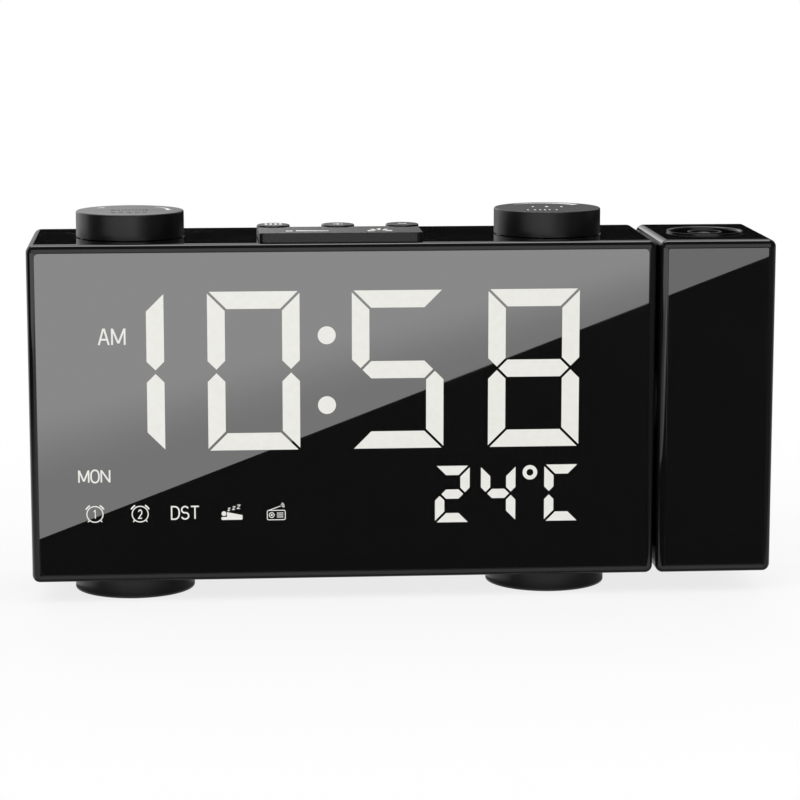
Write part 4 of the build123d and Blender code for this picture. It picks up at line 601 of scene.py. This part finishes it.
def drawing(name, strokes, width, place, face, base, material, body, fills=()):
    """One piece of line work: strokes are (path, closed) pairs, fills closed outlines."""
    points, faces, start = [], [], 0
    for path, closed in strokes:
        p, f = ribbon(path, width, place, face, base, closed, start)
        points.append(p)
        faces += f
        start += len(p)
    if len(fills):
        p, f = plates(fills, place, face, base)
        points.append(p)
        faces += [[i + start for i in loop] for loop in f]
    build(name, np.concatenate(points), faces, material, body, smooth=False)


def light_up(name, strokes, width, fills=()):
    """A lit field in the window's face, drawn with strokes and filled outlines."""
    drawing(name, strokes, width, upright_place, lit_face, lit_base, lit_white, "clock", fills)


def ellipse(centre, radius_x, radius_z, first=0.0, last=360.0, count=40, whole=True):
    """Points at even angles from first to last degrees round an ellipse."""
    turn = np.radians(np.linspace(first, last, count, endpoint=not whole))
    return np.stack([centre[0] + radius_x * np.cos(turn), centre[1] + radius_z * np.sin(turn)], -1)


digit = np.array((22.9, 39.9, 4.35, 0.45)) * MM
digits_level = 58.85 * MM
time_bars = []
for middle, bars in ((-71.3, "bc"), (-37.67, "abcdef"), (-1.77, "afgcd"), (32.35, "abcdefg")):
    time_bars += [bar + (middle * MM, digits_level) for bar in figure_bars(*digit, bars)]
colon_middle, colon_rise, colon_radius = -19.5 * MM, 8.8 * MM, 2.25 * MM
time_bars += [ellipse((colon_middle, digits_level + rise), colon_radius, colon_radius)
              for rise in (-colon_rise, colon_rise)]
light_up("time_figures", [], 0.0, time_bars)

small_digit = np.array((8.75, 14.45, 2.36, 0.44)) * MM
small_level = 26.95 * MM
small_bars = []
for middle, bars in ((11.98, "abged"), (23.57, "bcfg"), (39.62, "adef")):
    small_bars += [bar + (middle * MM, small_level) for bar in figure_bars(*small_digit, bars)]
light_up("temperature_figures", [], 0.0, small_bars)
degree_centre, degree_radius = (31.6 * MM, 32.25 * MM), 1.36 * MM
light_up("degree_ring", [(ellipse(degree_centre, degree_radius, degree_radius, count=48), True)],
         0.98 * MM)


# ---------------------------------------------------------------- lit words and signs
# Small lit fields of the same kind: morning, the weekday, two alarms, summer time,
# snooze and radio, drawn as thin lines.
def letter(which, left, bottom, width, height):
    """Strokes of one capital or numeral in a box, as (path, closed) pairs."""
    bowl = {
        "O": [(rounded_outline(1, 1, 0.42, 8)[0] + 0.5, True)],
        "D": [(np.concatenate([[(0, 0), (0, 1)],
                               ellipse((0.42, 0.58), 0.58, 0.42, 90, 0, 9, False),
                               ellipse((0.42, 0.42), 0.58, 0.42, 0, -90, 9, False)]), True)],
        "S": [(np.concatenate([ellipse((0.5, 0.745), 0.47, 0.255, 25, 265, 16, False),
                               ellipse((0.5, 0.26), 0.5, 0.26, 80, -160, 16, False)]), False)],
        "2": [(np.concatenate([ellipse((0.5, 0.7), 0.46, 0.3, 165, -30, 14, False),
                               [(0.04, 0.0), (1.0, 0.0)]]), False)],
        "A": [([(0, 0), (0.47, 1)], False), ([(0.53, 1), (1, 0)], False),
              ([(0.2, 0.33), (0.8, 0.33)], False)],
        "M": [([(0, 0), (0, 1)], False), ([(0.03, 0.97), (0.49, 0.1)], False),
              ([(0.51, 0.1), (0.97, 0.97)], False), ([(1, 1), (1, 0)], False)],
        "N": [([(0, 0), (0, 1)], False), ([(0.02, 0.97), (0.98, 0.03)], False),
              ([(1, 0), (1, 1)], False)],
        "T": [([(0, 1), (1, 1)], False), ([(0.5, 1), (0.5, 0)], False)],
        "Z": [([(0, 1), (1, 1), (0, 0), (1, 0)], False)],
        "1": [([(0.18, 0.78), (0.6, 1), (0.6, 0)], False)],
    }
    return [(np.asarray(path) * (width, height) + (left, bottom), closed)
            for path, closed in bowl[which]]


def word(text, left, right, bottom, top, widths, stroke, name):
    """Letters spread from left to right, each as wide as its share in widths."""
    gap = 0.26
    shares = np.array(widths, float)
    unit = (right - left - stroke) / (shares.sum() + gap * (len(text) - 1))
    starts = left + stroke / 2 + unit * (np.cumsum(shares) - shares + gap * np.arange(len(text)))
    strokes = []
    for glyph, start, share in zip(text, starts, shares):
        strokes += letter(glyph, start, bottom + stroke / 2, share * unit, top - bottom - stroke)
    light_up(name, strokes, stroke)


word("AM", -76.15 * MM, -69.3 * MM, 65.55 * MM, 70.1 * MM, (0.8, 1.0), 0.46 * MM, "word_am")
word("MON", -81.6 * MM, -73.6 * MM, 31.0 * MM, 34.5 * MM, (1.05, 0.85, 0.9), 0.4 * MM, "word_mon")
word("DST", -58.7 * MM, -51.5 * MM, 21.4 * MM, 24.95 * MM, (0.85, 0.8, 0.9), 0.37 * MM, "word_dst")

sign_line, radius = 0.27 * MM, 2.0 * MM
for number, sign_x, sign_z in (("1", -77.6 * MM, 23.2 * MM), ("2", -66.35 * MM, 23.1 * MM)):
    centre = np.array((sign_x, sign_z - 0.1 * MM))
    strokes = [(ellipse(centre, radius, radius), True)]
    for side in (-1, 1):
        foot = centre + radius * np.array((side * 0.66, -0.75))
        strokes.append(([foot, foot + np.array((side * 0.55, -0.55)) * MM * 0.8], False))
    strokes += letter(number, sign_x - 0.45 * MM, sign_z - 1.15 * MM, 0.9 * MM, 2.1 * MM)
    bells = [np.concatenate([ellipse(centre, radius * share, radius * share, 90 - side * first,
                                     90 - side * last, count, False)
                             for share, first, last, count in ((1.36, 28, 62, 8),
                                                               (1.17, 60, 30, 6))])
             for side in (-1, 1)]
    light_up(f"alarm_sign_{number}", strokes, sign_line, bells)

bed = np.array((-46.2 * MM, 21.2 * MM))
sleeper = [bed + MM * np.array(p)
           for p in ((1.5, 2.0), (2.1, 1.85), (5.4, 1.15), (5.4, 0.75), (1.5, 0.75))]
mattress = rounded_outline(5.3 * MM, 0.75 * MM, 0.3 * MM, 6)[0] + bed + (2.75 * MM, 0.37 * MM)
head_dot = ellipse(bed + (0.75 * MM, 1.6 * MM), 0.6 * MM, 0.6 * MM, count=24)
snores = []
for n, size in enumerate((0.62, 0.75, 0.9)):
    snores += letter("Z", bed[0] + (1.75 + 1.15 * n) * MM, bed[1] + (2.35 + 0.25 * n) * MM,
                     size * 0.85 * MM, size * MM)
light_up("snooze_sign", snores, 0.17 * MM, [sleeper, mattress, head_dot])

radio = np.array((-32.35 * MM, 22.25 * MM))
dial, aerial_tip = radio - (1.15 * MM, 0), radio + (1.1 * MM, 2.3 * MM)
radio_lines = [(rounded_outline(4.5 * MM, 2.4 * MM, 0.35 * MM, 6)[0] + radio, True),
               (ellipse(dial, 0.62 * MM, 0.62 * MM, count=24), True),
               (ellipse(dial, 0.16 * MM, 0.16 * MM, count=12), True),
               ([radio + (-1.9 * MM, 1.2 * MM), aerial_tip], False),
               (ellipse(aerial_tip, 0.45 * MM, 0.45 * MM, -35, 75, 8, False), False),
               (ellipse(aerial_tip, 0.85 * MM, 0.85 * MM, -30, 70, 8, False), False)]
radio_lines += [([radio + (0.15 * MM, rise * MM), radio + (1.75 * MM, rise * MM)], False)
                for rise in (-0.5, 0.0, 0.5)]
light_up("radio_sign", radio_lines, 0.2 * MM)


# ---------------------------------------------------------------- knobs
# Each knob is a hollow moulded cap with a satin skin, whose hub is pushed onto its
# encoder's shaft. Its top carries printed marks for turning.
def lathe(name, profile, centre, material, body, turns=160, wave=None):
    """A closed profile of (radius, height) pairs turned about an upright axis.

    wave is (count, depth, first ring, last ring): the radius of those rings grows by
    depth times (1 + cos(count * angle)) / 2, which leaves ribs between the grooves.
    """
    profile = np.asarray(profile, float)
    turn = np.linspace(0, 2 * np.pi, turns, endpoint=False)
    radius = np.repeat(profile[:, :1], turns, axis=1)
    if wave:
        count, depth, first, last = wave
        radius[first:last] += depth * (1 + np.cos(count * turn))[None] / 2
    points = np.stack([centre[0] + radius * np.cos(turn), centre[1] + radius * np.sin(turn),
                       np.repeat(profile[:, 1:], turns, axis=1)], axis=-1)
    faces = grid_faces(len(profile), turns, closed_rows=True).tolist()
    return build(name, points, faces, material, body)


def eased(corners, radii, steps=6):
    """A closed profile with each corner rounded to its radius by an arc between its sides."""
    corners = np.asarray(corners, float)
    before = np.roll(corners, 1, axis=0) - corners
    after = np.roll(corners, -1, axis=0) - corners
    before /= np.linalg.norm(before, axis=1, keepdims=True)
    after /= np.linalg.norm(after, axis=1, keepdims=True)
    half = np.arccos(np.clip(np.sum(before * after, axis=1), -1, 1)) / 2
    radii = np.asarray(radii, float)
    reach = radii / np.tan(half)
    bisector = before + after
    bisector /= np.maximum(np.linalg.norm(bisector, axis=1, keepdims=True), 1e-9)
    centres = corners + bisector * (radii / np.sin(half))[:, None]
    first = corners + before * reach[:, None] - centres
    last = corners + after * reach[:, None] - centres
    share = np.linspace(0, 1, steps)[None, :, None]
    chord = first[:, None] * (1 - share) + last[:, None] * share
    length = np.linalg.norm(chord, axis=2, keepdims=True)
    arcs = centres[:, None] + chord / np.maximum(length, 1e-12) * radii[:, None, None]
    return arcs.reshape(-1, 2)


satin_black = plastic("satin_black", (0.004, 0.004, 0.0044), 0.33, 0.04, 5e-6, 0.00028)
printed_white = plastic("printed_white", (0.82, 0.82, 0.8), 0.5, 0.05, 3e-6, 0.0004)
printed_grey = plastic("printed_grey", (0.12, 0.12, 0.12), 0.8, 0.05, 3e-6, 0.0004)
printed_grey.node_tree.nodes["Principled BSDF"].inputs["IOR"].default_value = 1.15

ink, ink_root = 0.02 * MM, 0.2 * MM


def print_marks(name, marks, centre, top, material, body):
    """Print on a level top: closed outlines about centre, ink proud of the height top."""
    drawing(name, [], 0.0, level_place, top + ink, top - ink_root, material, body,
            fills=[mark + centre for mark in marks])


def block(x, y, wide, deep):
    """Corners of a level rectangle about (x, y), in millimetres."""
    return np.array(((x - wide / 2, y - deep / 2), (x + wide / 2, y - deep / 2),
                     (x + wide / 2, y + deep / 2), (x - wide / 2, y + deep / 2))) * MM


def crescent(outer, first_inner, last_inner, first, last, count=32):
    """A band between an arc and one that runs from first_inner to last_inner in radius."""
    turn = np.radians(np.linspace(first, last, count))
    inner = np.linspace(first_inner, last_inner, count)[::-1]
    rim = np.stack([outer * np.cos(turn), outer * np.sin(turn)], -1)
    back = np.stack([inner * np.cos(turn[::-1]), inner * np.sin(turn[::-1])], -1)
    return np.concatenate([rim, back]) * MM


knob_words = ([block(x, 0.1, 0.5, 2.2) for x in np.linspace(-3.6, 3.4, 9)]
              + [block(x, 0.0, 0.7, 3.0) for x in (-4.4, 4.2)]
              + [block(x, -6.3, 1.1, 1.7) for x in (-4.1, -2.1, 0.0, 1.9, 3.8)])
knob_prints = {
    "left": [crescent(10.2, 9.9, 9.3, 52, 6), crescent(10.3, 9.9, 9.4, 146, 132),
             np.array(((8.7, 0.9), (10.7, 0.9), (9.7, -0.9))) * MM],
    "right": [crescent(11.4, 11.1, 9.2, 131, 38)]
             + [ellipse((x * MM, y * MM), wide * MM, deep * MM, count=24)
                for x, y, wide, deep in ((-3.5, 1.5, 0.3, 0.8), (0.1, 1.4, 0.4, 1.3),
                                         (3.8, 0.9, 0.35, 0.9))]
             + [block(x, -6.9, 0.4, 1.6) for x in (-5.7, -3.9, -2.6, -1.4, -0.2, 1.6)],
}
skirt, roof, hub, bore, edge = 1.6 * MM, 1.8 * MM, 4.6 * MM, 3.05 * MM, 0.4 * MM
for side in ("left", "right"):
    low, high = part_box(f"{side}_knob")
    centre = middle_of(low, high)
    radius = (high.x - low.x) / 2
    shape = eased(
        [(bore, low.z), (hub, low.z), (hub, high.z - roof), (radius - skirt, high.z - roof),
         (radius - skirt, low.z), (radius, low.z), (radius, high.z), (0.0, high.z),
         (0.0, high.z - roof), (bore, high.z - roof)],
        [0.05 * MM, 0.1 * MM, 0.2 * MM, 0.3 * MM, 0.1 * MM, 0.15 * MM, edge, 0.0, 0.0, 0.05 * MM])
    knob = lathe(f"{side}_knob_cap", shape, centre, satin_black, f"{side}_knob",
                 turns=192)
    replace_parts(knob, f"{side}_knob")
    print_marks(f"{side}_knob_marks", knob_prints[side], centre, high.z, printed_white,
                f"{side}_knob")
    if side == "left":
        print_marks("left_knob_rows", knob_words, centre, high.z, printed_grey, "left_knob")


# ---------------------------------------------------------------- control bar, buttons
# A wide bar with a scallop round each of three round buttons, all of them moulded caps
# that stand in one opening of the roof and press on switches below.
satin_bar = plastic("satin_bar", (0.0035, 0.0035, 0.004), 0.23, 0.04, 3e-6, 0.0003)
smooth_copy("control_bar", "control_bar", satin_bar)
bar_low, bar_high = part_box("control_bar")
bar_front = np.array(((bar_low.x + bar_high.x) / 2, bar_low.y))
# The fan: each ray widens from 0.4 to 1.1 mm between 1.3 and 3.1 mm from the middle, and
# the whole is stretched in depth.
fan_middle, fan_stretch = np.array((9.8, 3.2)), (1.0, 1.9)
rays = []
for turn in np.radians((10, 50, 90, 130, 170)):
    out = np.array((np.cos(turn), np.sin(turn)))
    aside = np.array((-np.sin(turn), np.cos(turn)))
    ray = np.array([out * 1.3 - aside * 0.2, out * 3.1 - aside * 0.55,
                    out * 3.1 + aside * 0.55, out * 1.3 + aside * 0.2])
    rays.append((fan_middle + ray * fan_stretch) * MM)
bar_prints = [block(-12.8, 4.7, 1.7, 1.5),
              np.array(((-11.1, 4.2), (-3.0, 4.1), (-3.0, 5.1), (-11.1, 6.2))) * MM] + rays
print_marks("bar_marks", bar_prints, bar_front, bar_high.z, printed_white, "control_bar")

button_prints = {
    "left": [block(x, 0.6, 0.75, 2.8) for x in (-1.8, -0.6, 0.6, 1.8)],
    "middle": [block(x, -0.2, wide, deep)
               for x, wide, deep in ((0.0, 0.6, 2.4), (-0.85, 1.0, 0.8), (0.85, 1.0, 0.8))],
    "right": [block(0.0, 0.0, 2.2, 0.8)],
}
for side in ("left", "middle", "right"):
    low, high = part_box(f"{side}_button")
    smooth_copy(f"{side}_button", f"{side}_button", satin_bar)
    print_marks(f"{side}_button_mark", button_prints[side], middle_of(low, high), high.z,
                printed_white, f"{side}_button")


# ---------------------------------------------------------------- feet
# Two round plinths stand under the body, each held by a screw from below, with a rubber
# pad let into its underside.
pad_radius, pad_depth = 12.6 * MM, 1.2 * MM
screw_bore, sink_bore, sink_depth = 1.6 * MM, 2.9 * MM, 3.0 * MM
for side in ("left", "right"):
    low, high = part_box(f"{side}_foot")
    radius = (high.x - low.x) / 2
    shape = eased(
        [(pad_radius, low.z), (radius, low.z), (radius, high.z), (screw_bore, high.z),
         (screw_bore, low.z + sink_depth), (sink_bore, low.z + sink_depth),
         (sink_bore, low.z + pad_depth), (pad_radius, low.z + pad_depth)],
        [0.1 * MM, 0.25 * MM, 0.25 * MM, 0.1 * MM, 0.05 * MM, 0.05 * MM, 0.1 * MM, 0.1 * MM])
    foot = lathe(f"{side}_foot_plinth", shape, middle_of(low, high), satin_black,
                 "clock", turns=192)
    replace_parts(foot, f"{side}_foot")
pad_rubber = plastic("pad_rubber", (0.02, 0.02, 0.02), 0.7, 0.05, 1e-5, 0.0004)
dress("foot_pads", pad_rubber)


# ---------------------------------------------------------------- focus ring and lens
# The ring in the head's end is turned by a fingertip in its recess, whose wall is
# ribbed for grip. It is threaded on the barrel that holds the projection lens.
low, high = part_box("focus_ring")
ring_centre = middle_of(low, high)
ring_radius, flange, collar = 9.8 * MM, 11.3 * MM, 5.6 * MM
lip, bore, web = 0.75 * MM, 4.45 * MM, 1.2 * MM
wall = ring_radius - lip
flange_top, flange_low = high.z - 2.4 * MM, high.z - 3.9 * MM
recess = high.z - 4.4 * MM
wall_top, wall_foot = high.z - 0.9 * MM, recess + 0.6 * MM
# Each corner is a radius, a height and its rounding in millimetres. The ribs lie in the
# arcs of the ninth and tenth corner, the top and the foot of the recess's wall.
ring_corners = [
    (bore, low.z, 0.1), (ring_radius, low.z, 0.1), (ring_radius, flange_low, 0.05),
    (flange, flange_low, 0.1), (flange, flange_top, 0.1), (ring_radius, flange_top, 0.05),
    (ring_radius, high.z, 0.08), (wall, high.z, 0.66), (wall, wall_top, 0.0),
    (wall, wall_foot, 0.0), (wall, recess, 0.25), (collar, recess, 0.2),
    (collar, recess + web, 0.3), (bore, recess + web, 0.15)]
arc_steps, ribs, rib_depth = 6, 60, 0.3 * MM
shape = eased([corner[:2] for corner in ring_corners],
              [corner[2] * MM for corner in ring_corners], arc_steps)
ring = lathe("focus_ring_cap", shape, ring_centre, satin_bar, "focus_ring",
             turns=360, wave=(ribs, rib_depth, 8 * arc_steps, 10 * arc_steps))
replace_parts(ring, "focus_ring")

dress("lens_barrel", satin_black)
lens_low, lens_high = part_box("projection_lens")
lens_radius, dome = (lens_high.x - lens_low.x) / 2, 1.3 * MM
ball = (lens_radius**2 + dome**2) / (2 * dome)
slope = np.linspace(0, np.arcsin(lens_radius / ball), 14)
dome_line = np.stack([ball * np.sin(slope), lens_high.z - ball * (1 - np.cos(slope))], -1)
shape = np.concatenate([dome_line, [(lens_radius, lens_low.z), (0.0, lens_low.z)]])
coated_glass = bpy.data.materials.new("coated_glass")
coated_glass.use_nodes = True
glass = coated_glass.node_tree
glass_body = glass.nodes["Principled BSDF"]
glass_body.inputs["Roughness"].default_value = 0.02
glass_body.inputs["IOR"].default_value = 1.52
glass_body.inputs["Transmission Weight"].default_value = 1.0
clouded(glass, glass_body.inputs["Base Color"], 90.0, 2.0, (0.55, 0.6, 0.72), (0.62, 0.68, 0.8))
lens = lathe("projection_lens_glass", shape, ring_centre, coated_glass, "lens",
             turns=96)
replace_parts(lens, "projection_lens")


# ---------------------------------------------------------------- screws
# Pan-head screws of plated steel pull both covers on from behind. Each head has a low
# crown and a cross recess, and its shank runs on into the boss.
def metal(name, colour, roughness, grain_size):
    """Plated or pressed metal: roughness wanders and a fine grain runs over it."""
    made = plastic(name, colour, roughness, roughness * 0.3, 1e-6, grain_size)
    made.node_tree.nodes["Principled BSDF"].inputs["Metallic"].default_value = 1.0
    return made


plated_steel = metal("plated_steel", (0.62, 0.61, 0.59), 0.25, 0.0004)


def crossed_faces(centres, top, radius):
    """Closed caps for screw heads that face backwards: points (head, ring, turn) and faces.

    On a polar grid the face rises to a low crown, crown * (1 - (r / radius)^2), and sinks
    inside the cross by the product of two short ramps: one over the distance to the
    nearer arm's axis, one over the distance along it. The last ring is the cap's foot.
    """
    crown, sink, foot = 0.12 * radius, 0.42 * radius, 0.5 * radius
    arm, arm_end, slope = 0.2 * radius, 0.66 * radius, 0.07 * radius
    turns = 64
    turn = np.linspace(0, 2 * np.pi, turns, endpoint=False)
    reach = np.linspace(0.02 * radius, 0.985 * radius, 26)[:, None]
    x, z = reach * np.cos(turn), reach * np.sin(turn)
    near, far = np.minimum(abs(x), abs(z)), np.maximum(abs(x), abs(z))
    sunk = np.clip((arm - near) / slope, 0, 1) * np.clip((arm_end - far) / slope, 0, 1)
    depth = np.concatenate([sink * sunk - crown * (1 - (reach / radius) ** 2),
                            np.full((1, turns), foot)])
    x, z = np.concatenate([x, x[-1:]]), np.concatenate([z, z[-1:]])
    grid = np.stack([x, top - depth, z], axis=-1)
    points = grid[None] + np.insert(np.asarray(centres), 1, 0, axis=1)[:, None, None]
    rings = len(depth)
    faces = []
    for head in range(len(centres)):
        start = head * rings * turns
        faces += (grid_faces(rings, turns) + start).tolist()
        faces += [list(range(start, start + turns)),
                  list(range(start + (rings - 1) * turns, start + rings * turns))]
    return points.reshape(-1, 3), faces


# The faces that lie in the heads' tops, to within skin, give way to the crossed caps.
head_radius, skin = 2.0 * MM, 0.01 * MM
casing_low, casing_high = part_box("main_casing")
middle = (casing_low.z + casing_high.z) / 2
for node, body in (("case_screws", "clock"), ("head_screws", "head")):
    low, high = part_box(node)
    left, right = low.x + head_radius, high.x - head_radius
    rise = high.z - head_radius - middle
    if node == "head_screws":
        left, rise = head_low.x + head_high.x - right, 28.0 * MM
    solid = nodes[node].data
    places = read_values(solid.vertices, "co", len(solid.vertices), 3)
    corners = read_values(solid.loops, "vertex_index", len(solid.loops)).reshape(-1, 3)
    kept = corners[(places[corners][:, :, 1] < high.y - skin).any(axis=1)]
    centres = [(x, z) for x in (left, right) for z in (middle - rise, middle + rise)]
    caps, cap_faces = crossed_faces(centres, high.y, head_radius)
    faces = kept.tolist() + [[i + len(places) for i in loop] for loop in cap_faces]
    piece = build(f"{node}_crossed", np.concatenate([places, caps]), faces, plated_steel,
                  body, crease=30)
    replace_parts(piece, node)


# ---------------------------------------------------------------- what is inside
# Boards, lamps, speaker, encoders, pivot and optics are seen only through the slots
# and openings. Each keeps its solid and gets the finish of its own material.
finishes = {
    "circuit_board": plastic("board_green", (0.02, 0.10, 0.05), 0.4, 0.05, 2e-6, 0.001),
    "chip_black": plastic("chip_black", (0.02, 0.02, 0.02), 0.5, 0.05, 2e-6, 0.0005),
    "led_package": plastic("led_cream", (0.85, 0.82, 0.62), 0.3, 0.05, 1e-6, 0.0005),
    "diffuser_white": plastic("diffuser_white", (0.8, 0.8, 0.78), 0.6, 0.05, 1e-6, 0.0003),
    "mask_white": plastic("mask_white", (0.75, 0.75, 0.73), 0.5, 0.05, 2e-6, 0.0006),
    "plated_steel": plated_steel,
    "spring_steel": metal("spring_steel", (0.45, 0.45, 0.45), 0.3, 0.0005),
    "magnet_grey": metal("magnet_grey", (0.2, 0.2, 0.21), 0.5, 0.0006),
    "speaker_paper": plastic("speaker_paper", (0.03, 0.03, 0.03), 0.85, 0.05, 2e-5, 0.0007),
    "inner_black": plastic("inner_black", (0.02, 0.02, 0.02), 0.5, 0.06, 4e-6, 0.0004),
    "pivot_white": plastic("pivot_white", (0.7, 0.7, 0.66), 0.45, 0.05, 2e-6, 0.0005),
    "lead_grey": plastic("lead_grey", (0.08, 0.08, 0.09), 0.6, 0.05, 3e-6, 0.0005),
    "lens_clear": coated_glass,
    "casing_black": gloss_black,
}
slots = {row["node"]: row["material_slot"] for row in frame["record"]["subparts"]}
dressed = {"foot_pads", "lens_barrel", "speaker_basket"}
dress("speaker_basket", plastic("basket_paint", (0.012, 0.012, 0.012), 0.45, 0.06, 6e-6, 0.0004))
for node, obj in nodes.items():
    if not obj.hide_render and node not in dressed:
        dress(node, finishes[slots[node]])
